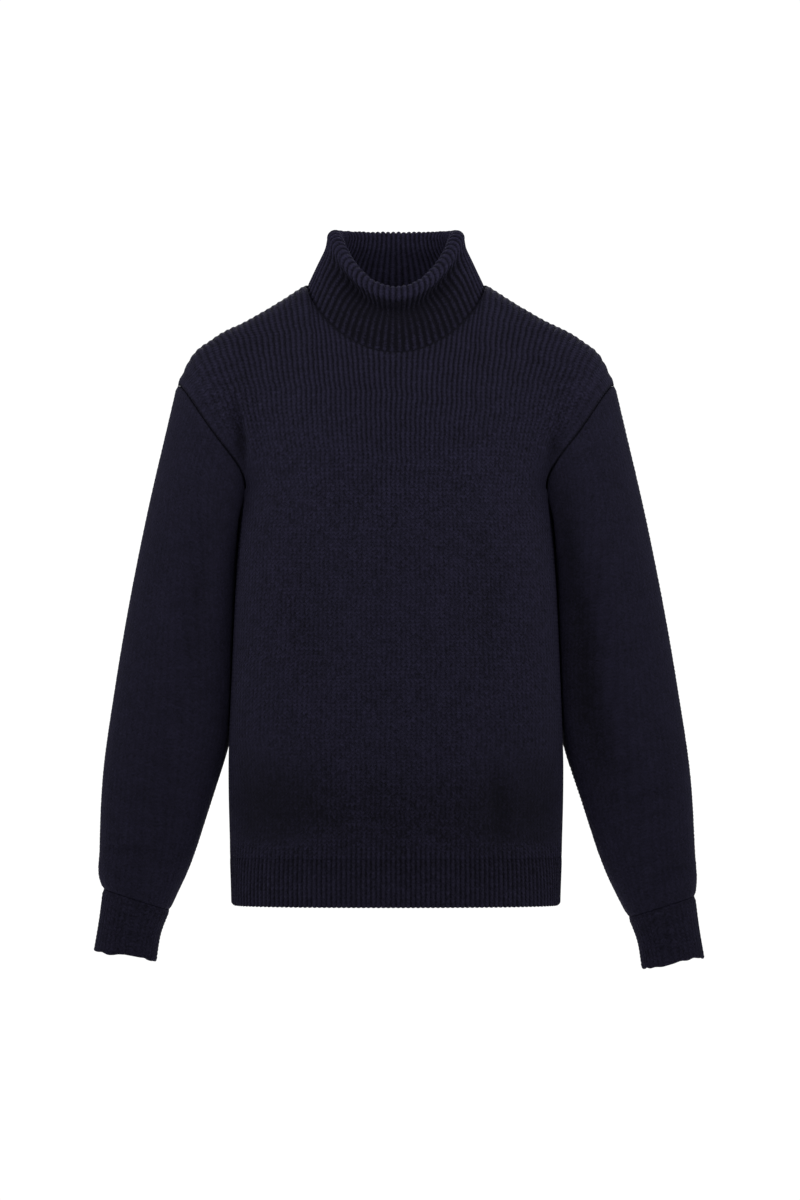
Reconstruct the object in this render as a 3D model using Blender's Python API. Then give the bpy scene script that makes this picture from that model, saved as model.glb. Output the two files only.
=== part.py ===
"""Turtleneck sweater in wool rib knit, hollow, filled out as it hangs from a pair of shoulders.

Every wall is a loft. Its rows run along the body or the limb, its columns follow the ribs of the
knit, and a rib is a crest on every second column of the outer side over a plain inside.
X runs across the shoulders, -Y is the front and Z is up. The origin lies at the height of the two
points where the neck seam meets the shoulder seams, midway between them.
Lengths are in millimetres until a mesh is made.
"""

import math

import bpy
import numpy as np

MM = 0.001

# --- Knit ---
WALL = 2.4
RIB_RELIEF = 1.2
PANEL_RIBS = 88
SLEEVE_RIBS = 48
CUFF_RIBS = 40
COLLAR_RIBS = 72
SEAM_GAP = 0.3

# --- Body ---
HEM_Z = -690.0
HEM_BAND_HEIGHT = 53.0
FRONT_ROUNDNESS = 2.35
BACK_ROUNDNESS = 2.15
FRONT, BACK = -1, 1
# The ribs are spaced evenly by the girth at this height, measured in small steps.
WAIST_Z = -400.0
GIRTH_STEPS = 721

# Height, half width, reach of the front and of the back from the side seam, and the seam's depth.
TORSO_COLUMNS = ("z", "half_width", "front", "back", "seam_y")
TORSO = (
    (-690.0, 183.0, 104.0, 116.0, -6.0),
    (-637.0, 184.5, 106.0, 119.0, -8.0),
    (-540.0, 185.5, 109.0, 121.0, -10.0),
    (-430.0, 182.0, 110.0, 123.0, -12.0),
    (-330.0, 178.0, 110.0, 125.0, -12.0),
    (-270.0, 175.0, 113.0, 122.0, -6.0),
    (-210.0, 171.0, 117.0, 117.0, 2.0),
)

# --- Armhole: a tilted ring from the shoulder tip to the underarm ---
SHOULDER_TIP = (243.0, -112.0)
UNDERARM = (172.0, -245.0)
ARMHOLE_Y = 5.0
ARMHOLE_HALF_DEPTH = {FRONT: 70.0, BACK: 68.0}
# It is cut further into the front than into the back.
ARMHOLE_BOW = {FRONT: 11.0, BACK: 8.0}
SCOOP_RIBS = 6
SCOOP_TURN = 0.2 * math.pi
ARMHOLE_BLEND_RIBS = 16
ARMHOLE_SEAM_SHIFT = 0.9

# The top of the form, from its middle, where the neck opening cuts it away, to the shoulder tip.
SHOULDER_COLUMNS = ("x", "z")
SHOULDER = (
    (0.0, 27.0),
    (50.0, 20.0),
    (100.0, 0.0),
    (126.0, -16.5),
    (164.0, -39.0),
    (205.0, -61.0),
    (230.0, -84.0),
    (243.0, -112.0),
)
SHOULDER_SEAM_Y = 8.0

# --- Neck seam ---
NECK_HALF_WIDTH = 100.0
NECK_REACH = {FRONT: 96.0, BACK: 58.0}
NECK_RISE = {FRONT: -75.0, BACK: 3.0}
NECK_CURVE = 1.5
NECK_SEARCH_STEPS = 401
# How far the shortened rows crowd towards the neck seam, and leave those below where they were.
CROWDING = 0.6
MOST_CROWDING = 3.0
LEAST_CUT = 0.01

# How strongly a rib keeps going up the chest, and over the shoulder at its end.
UP_PULL = 1.45
OVER_PULL = 1.5

# --- Rows and columns of the walls ---
LOWER_ROWS = 2
UPPER_ROWS = 5
# The plain inside uses every fourth column near a panel's sides and on tubes, else every eighth.
CURVED_COLUMNS = 44
CLOSE_STEP = 4
WIDE_STEP = 8

# --- Collar ---
COLLAR_INSET = 3.4
COLLAR_TUCK = 4.0
ROLL_RADIUS = 8.0
ROLL_HALF_WIDTH = 67.5
ROLL_CENTRE_Y = -5.0
ROLL_REACH = {FRONT: 72.0, BACK: 54.0}
ROLL_BACK_Z = 52.0
ROLL_DIP = 60.0
ROLL_CURVE = 1.6
FLARE = 1.15
# The outer layer starts under the roll, at this angle round it, further under in front and behind.
UNDERCUT = {"side": -12.0, "middle": -60.0}
MIDDLE_FROM, MIDDLE_FULL = 0.25, 0.8
RECESS = {"side": 1.5, "middle": 4.0}
RECESS_CURVE = 1.4
OUTER_LAYER_STEPS = (0.0, 0.3, 0.68)
ROLL_ANGLES = (0.0, 45.0, 90.0, 135.0, 180.0)
INNER_LAYER_STEPS = (0.5, 1.0)
INNER_LAYER_INSET = 8.0

# --- Sleeves: the outer and the inner edge of each section, seen from the front ---
# The inner edge lies back by inner_back, so that it rests behind the torso's widest line.
SLEEVE_COLUMNS = ("outer_x", "outer_z", "inner_x", "inner_z", "centre_y", "half_depth", "inner_back")
SLEEVE = (
    (254.0, -158.0, 173.0, -272.0, 9.0, 69.0, 0.0),
    (273.0, -238.0, 178.0, -322.0, 18.0, 66.0, 14.0),
    (294.0, -340.0, 175.5, -392.0, 22.0, 61.0, 22.0),
    (313.0, -452.0, 182.0, -484.0, 18.0, 55.0, 16.0),
    (326.0, -550.0, 208.0, -580.0, 6.0, 48.0, 6.0),
    (329.0, -627.0, 233.0, -654.0, -7.0, 40.0, 0.0),
    (329.0, -661.0, 247.0, -684.0, -12.0, 34.0, 0.0),
    (325.0, -672.0, 252.0, -695.0, -13.0, 31.0, 0.0),
)
SLEEVE_ROUNDNESS = 2.15
INNER_CURVE = 3
CUFF = (
    (325.0, -672.0, 252.0, -695.0, -13.0, 31.0, 0.0),
    (329.5, -707.0, 262.0, -722.0, -16.0, 26.0, 0.0),
    (335.0, -740.0, 267.0, -752.0, -18.0, 26.0, 0.0),
)
# How much further out and down the cuff of each sleeve hangs.
HANG = {"left": (0.0, 0.0), "right": (7.0, -8.0)}
TORSO_CLEARANCE = 6.0
CUFF_SEAM_SHIFT = 0.7
CLEARANCE_SOFTNESS = 5.0

# --- Finish ---
NAVY = (0.0105, 0.0098, 0.0175, 1.0)
NAVY_DEEP = (0.0085, 0.0080, 0.0145, 1.0)
WOOL_ROUGHNESS = 0.93
WOOL_SHEEN = 0.25
SHARP_ANGLE = math.radians(60)


def clear_scene():
    for found in list(bpy.data.objects):
        bpy.data.objects.remove(found, do_unlink=True)


def spline(rows, at):
    """Rows of a table read at the given values of its first column, on a smooth curve through them."""
    rows = np.asarray(rows, float)
    at = np.asarray(at, float)
    keys = rows[:, 0]
    slopes = np.gradient(rows, keys, axis=0)
    low = np.clip(np.searchsorted(keys, at, side="right") - 1, 0, len(keys) - 2)
    span = keys[low + 1] - keys[low]
    part = np.clip((at - keys[low]) / span, 0, 1)[..., None]
    span = span[..., None]
    return (
        (1 + 2 * part) * (1 - part) ** 2 * rows[low]
        + part * (1 - part) ** 2 * span * slopes[low]
        + part**2 * (3 - 2 * part) * rows[low + 1]
        + part**2 * (part - 1) * span * slopes[low + 1]
    )


def power(value, exponent):
    """A power that keeps its sign."""
    return np.sign(value) * np.abs(value) ** exponent


# --- Torso and armhole ---


def roundness(side):
    return FRONT_ROUNDNESS if side == FRONT else BACK_ROUNDNESS


def torso_size(z, side):
    """Half width, reach and seam depth of the torso at a height."""
    size = spline(TORSO, z)
    wanted = ("half_width", "front" if side == FRONT else "back", "seam_y")
    return tuple(size[..., TORSO_COLUMNS.index(name)] for name in wanted)


def girth_angles(share, side):
    """Angles round the half section at even shares of its girth, -90 to 90 degrees."""
    half_width, reach, _ = torso_size(np.array(WAIST_Z), side)
    angle = np.linspace(-math.pi / 2, math.pi / 2, GIRTH_STEPS)
    exponent = 2 / roundness(side)
    x = half_width * power(np.sin(angle), exponent)
    y = reach * np.abs(np.cos(angle)) ** exponent
    length = np.concatenate([[0], np.cumsum(np.hypot(np.diff(x), np.diff(y)))])
    return np.interp(share, length / length[-1], angle)


def torso_points(z, side, angle):
    half_width, reach, seam_y = torso_size(z, side)
    exponent = 2 / roundness(side)
    x = half_width * power(np.sin(angle), exponent)
    y = seam_y + side * reach * np.abs(np.cos(angle)) ** exponent
    return np.stack([x, y, z + 0 * x], axis=-1)


def armhole(turn, side):
    """The armhole of the +X side: turn 0 at the shoulder tip, pi at the underarm."""
    tip = np.array(SHOULDER_TIP)
    under = np.array(UNDERARM)
    half = np.linalg.norm(tip - under) / 2
    along = (tip - under) / (2 * half)
    inboard = np.array([-along[1], along[0]])
    turn = np.asarray(turn, float)[..., None]
    bow = ARMHOLE_BOW[side] * np.sin(turn) * inboard
    seen = (tip + under) / 2 + half * np.cos(turn) * along + bow
    y = ARMHOLE_Y + side * ARMHOLE_HALF_DEPTH[side] * np.sin(turn[..., 0])
    return np.stack([seen[..., 0], y, seen[..., 1]], axis=-1)


def scoop_turns():
    """Turns of the ribs that end in the scoop of the armhole, from the side seam inwards."""
    return math.pi - np.linspace(0, SCOOP_TURN, 2 * SCOOP_RIBS + 1)


def edge_turns():
    """Turns of the rows along the armhole above the scoop, up to the shoulder tip."""
    return (math.pi - SCOOP_TURN) * (1 - np.linspace(0, 1, UPPER_ROWS + 1))


# --- Front and back ---


def neck_point(x, side):
    across = np.clip(x / NECK_HALF_WIDTH, -1, 1)
    ahead = np.sqrt(1 - across**2)
    y = SHOULDER_SEAM_Y + side * NECK_REACH[side] * ahead
    return np.stack([x, y, NECK_RISE[side] * ahead**NECK_CURVE], axis=-1)


def shoulder_point(x):
    height = spline(SHOULDER, np.abs(x))[..., SHOULDER_COLUMNS.index("z")]
    out = np.clip((np.abs(x) - NECK_HALF_WIDTH) / (SHOULDER_TIP[0] - NECK_HALF_WIDTH), 0, 1)
    y = SHOULDER_SEAM_Y + out * (ARMHOLE_Y - SHOULDER_SEAM_Y)
    return np.stack([x, y, height], axis=-1)


def hermite(start, end, start_pull, end_pull, part):
    return (
        (1 + 2 * part) * (1 - part) ** 2 * start
        + part * (1 - part) ** 2 * start_pull
        + part**2 * (3 - 2 * part) * end
        + part**2 * (part - 1) * end_pull
    )


def panel_surface(side):
    """Rows by columns of points, columns from -X to +X, and which cells there are."""
    columns = 2 * PANEL_RIBS + 1
    edge = 2 * SCOOP_RIBS
    middle = slice(edge, columns - edge)
    angle = girth_angles(np.linspace(0, 1, columns), side)
    mirror = np.array([-1.0, 1.0, 1.0])

    # The line at the armhole's scoop, where the side columns end.
    scoop = armhole(scoop_turns(), side)
    line = torso_points(np.full(columns, scoop[-1, 2]), side, angle)
    from_edge = np.clip((np.arange(columns) - edge) / (2 * ARMHOLE_BLEND_RIBS), 0, 1)
    fade = (1 - from_edge[:, None]) ** 2
    miss = scoop[-1] - line[-1 - edge]
    line = line + fade * miss * mirror + fade[::-1] * miss
    line[: edge + 1] = scoop * mirror
    line[-1 - edge :] = scoop[::-1]

    # Below it, the torso's own sections.
    lower = []
    for part in np.linspace(0, 1, LOWER_ROWS + 1):
        z = HEM_Z + HEM_BAND_HEIGHT + part * (line[:, 2] - HEM_Z - HEM_BAND_HEIGHT)
        drift = line - torso_points(line[:, 2], side, angle)
        drift[:, 2] = 0
        lower.append(torso_points(z, side, angle) + part**3 * drift)

    # Above it, each rib curves up the chest or the back to the top of the form.
    start = line[middle]
    x = np.linspace(-1, 1, len(start)) * SHOULDER_TIP[0]
    end = shoulder_point(x)
    rise = end - start
    start_pull = np.stack([rise[:, 0], 0 * x, UP_PULL * rise[:, 2]], axis=-1)
    end_pull = np.stack([rise[:, 0], OVER_PULL * rise[:, 1], 0 * x], axis=-1)
    curve = (start, end, start_pull, end_pull)

    # The neck opening cuts its ribs short, and draws each a little onto the round neck seam.
    seam = neck_point(x, side)
    in_neck = np.abs(x) < NECK_HALF_WIDTH
    tries = np.linspace(0, 1, NECK_SEARCH_STEPS)
    dense = hermite(*curve, tries[:, None, None])
    nearest = np.linalg.norm(dense - seam, axis=-1).argmin(axis=0)
    cut = np.where(in_neck, tries[nearest], 1.0)[:, None]
    crowding = np.minimum(MOST_CROWDING, CROWDING * cut / np.maximum(1 - cut, LEAST_CUT))
    part = np.linspace(0, 1, UPPER_ROWS + 1)[:, None, None]
    upper = hermite(*curve, part * (1 - (1 - cut) * part**crowding))
    upper = upper + part**2 * np.where(in_neck[:, None], seam - upper[-1], 0)
    ring = armhole(edge_turns(), side)
    gap = (ring - upper[:, -1])[:, None]
    fade = fade[middle]
    upper = upper + fade * gap * mirror + fade[::-1] * gap

    surface = np.zeros((LOWER_ROWS + UPPER_ROWS + 1, columns, 3))
    surface[: LOWER_ROWS + 1] = lower
    surface[LOWER_ROWS:, middle] = upper
    surface[..., 1] += side * SEAM_GAP / 2
    live = np.ones((LOWER_ROWS + UPPER_ROWS, columns - 1), bool)
    live[LOWER_ROWS:, :edge] = False
    live[LOWER_ROWS:, -edge:] = False
    return surface, live


def hem_surface(side):
    angle = girth_angles(np.linspace(0, 1, 2 * PANEL_RIBS + 1), side)
    heights = (HEM_Z, HEM_Z + HEM_BAND_HEIGHT - SEAM_GAP)
    surface = np.array([torso_points(np.full(len(angle), z), side, angle) for z in heights])
    surface[..., 1] += side * SEAM_GAP / 2
    return surface, np.ones((1, len(angle) - 1), bool)


# --- Sleeves and cuffs, worked out for the +X side ---


def sleeve_ring(row, angle, share, hang):
    """One section: angle 0 at the outer edge, 90 degrees at the front, 180 at the inner edge."""
    section = dict(zip(SLEEVE_COLUMNS, row))
    shift = np.array(hang) * share**2
    outer = np.array([section["outer_x"], section["outer_z"]]) + shift
    inner = np.array([section["inner_x"], section["inner_z"]]) + shift
    exponent = 2 / SLEEVE_ROUNDNESS
    across = power(np.cos(angle), exponent)[:, None]
    seen = (outer + inner) / 2 + (outer - inner) / 2 * across
    y = section["centre_y"] - section["half_depth"] * power(np.sin(angle), exponent)
    y = y + section["inner_back"] * ((1 - np.cos(angle)) / 2) ** INNER_CURVE
    return np.stack([seen[:, 0], y, seen[:, 1]], axis=-1)


def clear_of_torso(points):
    """Presses the sleeve's inner side flat along the torso, so that it stays just clear of it."""
    moved = points.copy()
    side = np.where(points[:, 1] < torso_size(points[:, 2], FRONT)[2], FRONT, BACK)
    for face in (FRONT, BACK):
        half_width, reach, seam_y = torso_size(points[:, 2], face)
        depth = np.clip(np.abs(points[:, 1] - seam_y) / (reach + TORSO_CLEARANCE), 0, 1)
        bend = roundness(face)
        limit = (half_width + TORSO_CLEARANCE) * (1 - depth**bend) ** (1 / bend)
        over = points[:, 0] - limit
        eased = limit + (over + np.sqrt(over**2 + CLEARANCE_SOFTNESS**2)) / 2
        moved[:, 0] = np.where(side == face, eased, moved[:, 0])
    return moved


def armhole_ring(angle):
    """The sleeve's first ring, on the straight stretches between the panels' own edge points."""
    turns = np.concatenate([edge_turns()[::-1], scoop_turns()[::-1][1:]])
    ring = np.zeros((len(angle), 3))
    for side in (FRONT, BACK):
        known = armhole(turns, side)
        turn = angle if side == FRONT else 2 * math.pi - angle
        here = (angle <= math.pi) if side == FRONT else (angle > math.pi)
        for axis in range(3):
            ring[here, axis] = np.interp(turn[here], turns, known[:, axis])
    tip = np.array(SHOULDER_TIP)
    under = np.array(UNDERARM)
    along = (tip - under) / np.linalg.norm(tip - under)
    return ring + ARMHOLE_SEAM_SHIFT * np.array([along[1], 0.0, -along[0]])


def sleeve_surface(hang):
    angle = np.linspace(0, 2 * math.pi, 2 * SLEEVE_RIBS, endpoint=False)
    rings = [armhole_ring(angle)]
    for index, row in enumerate(SLEEVE):
        share = (index + 1) / len(SLEEVE)
        rings.append(clear_of_torso(sleeve_ring(row, angle, share, hang)))
    return np.array(rings)


def cuff_surface(hang):
    angle = np.linspace(0, 2 * math.pi, 2 * CUFF_RIBS, endpoint=False)
    rings = [sleeve_ring(row, angle, 1.0, hang) for row in CUFF]
    down = (rings[-1] - rings[0]).mean(axis=0)
    rings[0] = rings[0] + CUFF_SEAM_SHIFT * down / np.linalg.norm(down)
    return np.array(rings)


# --- Collar ---


def collar_surface():
    """A tube folded at its top: the outer layer, the roll and the inner layer."""
    angle = np.linspace(0, 2 * math.pi, 2 * COLLAR_RIBS, endpoint=False)
    ahead = np.cos(angle)
    across = np.sin(angle)
    neck_reach = np.where(ahead > 0, NECK_REACH[FRONT], NECK_REACH[BACK])
    neck_rise = np.where(ahead > 0, NECK_RISE[FRONT], NECK_RISE[BACK])
    roll_reach = np.where(ahead > 0, ROLL_REACH[FRONT], ROLL_REACH[BACK])
    neck = np.stack(
        [
            (NECK_HALF_WIDTH - COLLAR_INSET) * across,
            SHOULDER_SEAM_Y - (neck_reach - COLLAR_INSET) * ahead,
            neck_rise * np.abs(ahead) ** NECK_CURVE - COLLAR_TUCK,
        ],
        axis=-1,
    )
    roll = np.stack(
        [
            ROLL_HALF_WIDTH * across,
            ROLL_CENTRE_Y - roll_reach * ahead,
            ROLL_BACK_Z - ROLL_DIP * np.clip(ahead, 0, 1) ** ROLL_CURVE,
        ],
        axis=-1,
    )
    outward = np.stack([across * roll_reach, -ahead * ROLL_HALF_WIDTH, 0 * angle], axis=-1)
    outward /= np.linalg.norm(outward, axis=1)[:, None]
    up = np.array([0.0, 0.0, 1.0])
    middle = np.clip((np.abs(ahead) - MIDDLE_FROM) / (MIDDLE_FULL - MIDDLE_FROM), 0, 1)[:, None]
    undercut = np.radians(UNDERCUT["side"] + (UNDERCUT["middle"] - UNDERCUT["side"]) * middle)
    recess = RECESS["side"] + (RECESS["middle"] - RECESS["side"]) * middle
    face = roll + ROLL_RADIUS * (np.cos(undercut) * outward + np.sin(undercut) * up)
    rings = []
    for step in OUTER_LAYER_STEPS:
        left = (1 - step) ** FLARE
        ring = face + (neck - face) * left
        ring[:, 2] = neck[:, 2] + (face[:, 2] - neck[:, 2]) * step
        rings.append(ring - recess * math.sin(math.pi * step**RECESS_CURVE) ** 2 * outward)
    rings.append(face)
    for degrees in ROLL_ANGLES:
        turn = math.radians(degrees)
        rings.append(roll + ROLL_RADIUS * (math.cos(turn) * outward + math.sin(turn) * up))
    top = rings[-1]
    bottom = neck - INNER_LAYER_INSET * outward
    for step in INNER_LAYER_STEPS:
        rings.append(top + (bottom - top) * step)
    return np.array(rings)


# --- Walls ---


def point_normals(surface, live, wraps):
    """Unit normals at the grid's points, averaged over the cells that there are."""
    rows, columns = surface.shape[:2]
    total = np.zeros_like(surface)
    for row in range(rows - 1):
        for column in range(columns if wraps else columns - 1):
            if not live[row, column]:
                continue
            beside = (column + 1) % columns
            corners = [(row, column), (row, beside), (row + 1, beside), (row + 1, column)]
            a, b, c, d = (surface[corner] for corner in corners)
            facing = np.cross(c - a, d - b)
            facing /= np.linalg.norm(facing)
            for corner in corners:
                total[corner] += facing
    length = np.linalg.norm(total, axis=-1, keepdims=True)
    return total / np.where(length > 0, length, 1)


def wall(surface, relief, inner_columns, live=None, wraps=False, seam=None):
    """Points and faces of a closed wall: a ribbed outside, a plain inside and the rims between.

    Where the front is sewn to the back, seam is True and the edge is cut square to Y.
    """
    rows, columns = surface.shape[:2]
    if live is None:
        live = np.ones((rows - 1, columns), bool)
    normal = point_normals(surface, live, wraps)
    if seam is not None:
        normal[seam, 1] = 0
        normal[seam] /= np.linalg.norm(normal[seam], axis=1)[:, None]
    outside = surface + normal * relief[..., None]
    inside = surface - normal * WALL
    points = []
    number = {}

    def point(layer, row, column):
        key = (layer, row, column)
        if key not in number:
            number[key] = len(points)
            points.append((outside if layer == 0 else inside)[row, column] * MM)
        return number[key]

    faces = []
    following = {}
    for row in range(rows - 1):
        for column in range(columns if wraps else columns - 1):
            if live[row, column]:
                beside = (column + 1) % columns
                loop = [(row, column), (row, beside), (row + 1, beside), (row + 1, column)]
                faces.append([point(0, *corner) for corner in loop])
                following.update({pair: True for pair in zip(loop, loop[1:] + loop[:1])})
        steps = zip(inner_columns, inner_columns[1:] + (inner_columns[:1] if wraps else []))
        for column, beside in steps:
            if live[row, column]:
                loop = [(row, column), (row + 1, column), (row + 1, beside), (row, beside)]
                faces.append([point(1, *corner) for corner in loop])

    after = {start: end for start, end in following if (end, start) not in following}
    kept = set(inner_columns)
    waiting = {place for place in after if place[1] in kept}
    while waiting:
        first = here = min(waiting)
        while True:
            chain = [here, after[here]]
            while chain[-1][1] not in kept:
                chain.append(after[chain[-1]])
            half = len(chain) // 2
            near, far = point(1, *chain[0]), point(1, *chain[-1])
            for step in range(len(chain) - 1):
                tie = near if step < half else far
                faces.append([point(0, *chain[step + 1]), point(0, *chain[step]), tie])
            faces.append([point(0, *chain[half]), near, far])
            waiting.discard(here)
            here = chain[-1]
            if here == first:
                break
    return points, faces


def rib_relief(rows, columns, plain_rows=()):
    """Crests on every second column, fading out on the rows that are sewn flat."""
    relief = np.zeros((rows, columns))
    relief[:, 1::2] = RIB_RELIEF
    for row in plain_rows:
        relief[row] = 0
    return relief


def wool(name, colour):
    material = bpy.data.materials.new(name)
    material.use_nodes = True
    shader = material.node_tree.nodes["Principled BSDF"]
    shader.inputs["Base Color"].default_value = colour
    shader.inputs["Roughness"].default_value = WOOL_ROUGHNESS
    shader.inputs["Metallic"].default_value = 0.0
    shader.inputs["Sheen Weight"].default_value = WOOL_SHEEN
    return material


def add_piece(name, collection, mesh_data, colour):
    points, faces = mesh_data
    mesh = bpy.data.meshes.new(name)
    mesh.from_pydata(points, [], faces)
    mesh.materials.append(wool(f"{name}_wool", colour))
    mesh.shade_smooth()
    mesh.set_sharp_from_angle(angle=SHARP_ANGLE)
    piece = bpy.data.objects.new(name, mesh)
    collection.objects.link(piece)
    return piece


# --- Pieces ---


def panel_inner_columns():
    """Columns of the plain inside: closer together near the sides, where the panel curves most."""
    last = 2 * PANEL_RIBS
    sides = list(range(0, CURVED_COLUMNS, CLOSE_STEP))
    centre = list(range(CURVED_COLUMNS, last - CURVED_COLUMNS + 1, WIDE_STEP))
    return sides + centre + [last - column for column in reversed(sides)]


def facing_out(side, surface, live):
    """The back is laid out from +X to -X, so that its normals point out too."""
    if side == FRONT:
        return surface, live
    return surface[:, ::-1], live[:, ::-1]


def side_seams(surface, rows):
    """The points along both side seams, up to a row."""
    seam = np.zeros(surface.shape[:2], bool)
    seam[:rows, [0, -1]] = True
    return seam


def add_panel(name, side, collection):
    surface, live = facing_out(side, *panel_surface(side))
    relief = rib_relief(*surface.shape[:2])
    edge = 2 * SCOOP_RIBS
    relief[LOWER_ROWS, : edge + 1] = 0
    relief[LOWER_ROWS, -1 - edge :] = 0
    seam = side_seams(surface, LOWER_ROWS + 1)
    seam[-1, edge:-edge] = np.abs(surface[-1, edge:-edge, 0]) >= NECK_HALF_WIDTH
    mesh_data = wall(surface, relief, panel_inner_columns(), live, seam=seam)
    add_piece(name, collection, mesh_data, NAVY)


def add_hem(name, side, collection):
    surface, live = facing_out(side, *hem_surface(side))
    relief = rib_relief(*surface.shape[:2])
    seam = side_seams(surface, len(surface))
    mesh_data = wall(surface, relief, panel_inner_columns(), live, seam=seam)
    add_piece(name, collection, mesh_data, NAVY_DEEP)


def add_tube(name, surface, relief, colour, collection, on_left=False):
    if on_left:
        surface = surface[:, ::-1] * np.array([-1.0, 1.0, 1.0])
        relief = relief[:, ::-1]
    inner_columns = list(range(0, surface.shape[1], CLOSE_STEP))
    add_piece(name, collection, wall(surface, relief, inner_columns, wraps=True), colour)


def add_limb(hand, collection):
    sleeve = sleeve_surface(HANG[hand])
    relief = rib_relief(*sleeve.shape[:2], plain_rows=(0,))
    add_tube(f"sleeve_{hand}", sleeve, relief, NAVY, collection, on_left=hand == "left")
    cuff = cuff_surface(HANG[hand])
    relief = rib_relief(*cuff.shape[:2])
    add_tube(f"cuff_{hand}", cuff, relief, NAVY_DEEP, collection, on_left=hand == "left")


def add_collar(collection):
    surface = collar_surface()
    relief = rib_relief(*surface.shape[:2], plain_rows=(0,))
    add_tube("collar", surface, relief, NAVY, collection)


def main():
    clear_scene()
    sweater = bpy.data.collections.new("turtleneck_sweater")
    bpy.context.scene.collection.children.link(sweater)
    add_panel("front_panel", FRONT, sweater)
    add_panel("back_panel", BACK, sweater)
    add_hem("front_hem_rib", FRONT, sweater)
    add_hem("back_hem_rib", BACK, sweater)
    for hand in HANG:
        add_limb(hand, sweater)
    add_collar(sweater)


main()
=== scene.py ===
# %% [markdown]
# # A turtleneck sweater in wool rib knit
#
# The sweater hangs filled out, as it does on a wearer, with nobody in it. Its nine knitted pieces come
# packed as plain ribbed solids. This lesson dresses each one in a thin shell of the same form, with
# rounded ribs, soft folds, rolled edges and a yarn material, and then sets up a plain white studio.
#
# Lengths are in millimetres until a mesh is made. X runs across the shoulders, -Y is the front, Z is up.

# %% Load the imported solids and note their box
import math

import bpy
import numpy as np
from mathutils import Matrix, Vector


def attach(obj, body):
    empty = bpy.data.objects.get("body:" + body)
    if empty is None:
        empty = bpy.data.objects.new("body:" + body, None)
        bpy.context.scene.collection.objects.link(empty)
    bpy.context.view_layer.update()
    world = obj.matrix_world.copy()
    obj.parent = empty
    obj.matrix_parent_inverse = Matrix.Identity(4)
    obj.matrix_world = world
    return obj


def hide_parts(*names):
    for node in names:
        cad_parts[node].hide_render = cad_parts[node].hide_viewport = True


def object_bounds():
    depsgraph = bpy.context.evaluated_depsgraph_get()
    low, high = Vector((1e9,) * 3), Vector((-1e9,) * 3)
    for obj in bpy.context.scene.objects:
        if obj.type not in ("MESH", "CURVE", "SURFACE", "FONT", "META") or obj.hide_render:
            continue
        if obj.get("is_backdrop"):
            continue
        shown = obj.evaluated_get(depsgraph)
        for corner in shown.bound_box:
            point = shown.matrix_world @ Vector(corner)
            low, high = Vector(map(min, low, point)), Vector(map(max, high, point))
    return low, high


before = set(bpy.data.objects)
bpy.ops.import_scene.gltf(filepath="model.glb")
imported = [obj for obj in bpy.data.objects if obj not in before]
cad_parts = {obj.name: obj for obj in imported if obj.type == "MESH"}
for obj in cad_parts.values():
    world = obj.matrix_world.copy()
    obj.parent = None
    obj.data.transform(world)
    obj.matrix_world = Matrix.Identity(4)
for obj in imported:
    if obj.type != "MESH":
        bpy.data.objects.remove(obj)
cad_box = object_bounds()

MM = 0.001
FRONT, BACK = -1, 1
print("CAD nodes:", sorted(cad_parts))

# %% [markdown]
# ## The camera
#
# The hem and the cuffs show no curve, so the photo was taken from far off with a long lens, level with the
# middle of the garment. A short lens close by would bow the hem and widen the chest. So the camera stands
# 10 m in front, and its lens is the one that fits the picture's height, 1336.6 mm at the garment, on a
# 36 mm sensor.

# %% Camera
CAMERA_DISTANCE = 10000.0
PICTURE_HEIGHT = 1336.6
PICTURE_CENTRE = (4.5, -351.0)
SENSOR = 36.0
CLIP_END_M = 100.0

bpy.ops.object.select_all(action="DESELECT")
bpy.ops.object.camera_add(
    location=(PICTURE_CENTRE[0] * MM, -CAMERA_DISTANCE * MM, PICTURE_CENTRE[1] * MM),
    rotation=(math.radians(90), 0, 0),
)
camera = bpy.context.object
camera.name = "studio_camera"
camera.data.sensor_width = SENSOR
camera.data.lens = SENSOR * CAMERA_DISTANCE / PICTURE_HEIGHT
camera.data.clip_end = CLIP_END_M
bpy.context.scene.camera = camera
print("lens", round(camera.data.lens, 1), "mm")

# %% [markdown]
# ## Smooth curves, soft steps and rounded squares
#
# A few small helpers carry the whole form. One reads a table on a smooth curve through its rows. One is a
# power that keeps its sign, which turns a circle into the squarer oval of a body under thick knit. The
# others ease a value in, or let it die out on both sides of a line.

# %% Curve helpers
def hermite(start, end, start_pull, end_pull, part):
    """A smooth curve from start to end that leaves and arrives along the two pulls."""
    return (
        (1 + 2 * part) * (1 - part) ** 2 * start
        + part * (1 - part) ** 2 * start_pull
        + part**2 * (3 - 2 * part) * end
        + part**2 * (part - 1) * end_pull
    )


def spline(rows, at):
    """Rows of a table at the given values of its first column, on a smooth curve through them."""
    rows = np.asarray(rows, float)
    at = np.asarray(at, float)
    keys = rows[:, 0]
    slopes = np.gradient(rows, keys, axis=0)
    low = np.clip(np.searchsorted(keys, at, side="right") - 1, 0, len(keys) - 2)
    span = keys[low + 1] - keys[low]
    part = np.clip((at - keys[low]) / span, 0, 1)[..., None]
    span = span[..., None]
    return hermite(rows[low], rows[low + 1], span * slopes[low], span * slopes[low + 1], part)


print("halfway up a curve from 0 to 10 that starts and ends level:", hermite(0, 10, 0, 0, 0.5))


# %% Small helpers
def power(value, exponent):
    """A power that keeps the value's sign."""
    return np.sign(value) * np.abs(value) ** exponent


def smooth_step(value):
    """0 up to 0, 1 from 1 on, and an easy rise between."""
    value = np.clip(value, 0, 1)
    return value * value * (3 - 2 * value)


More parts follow.
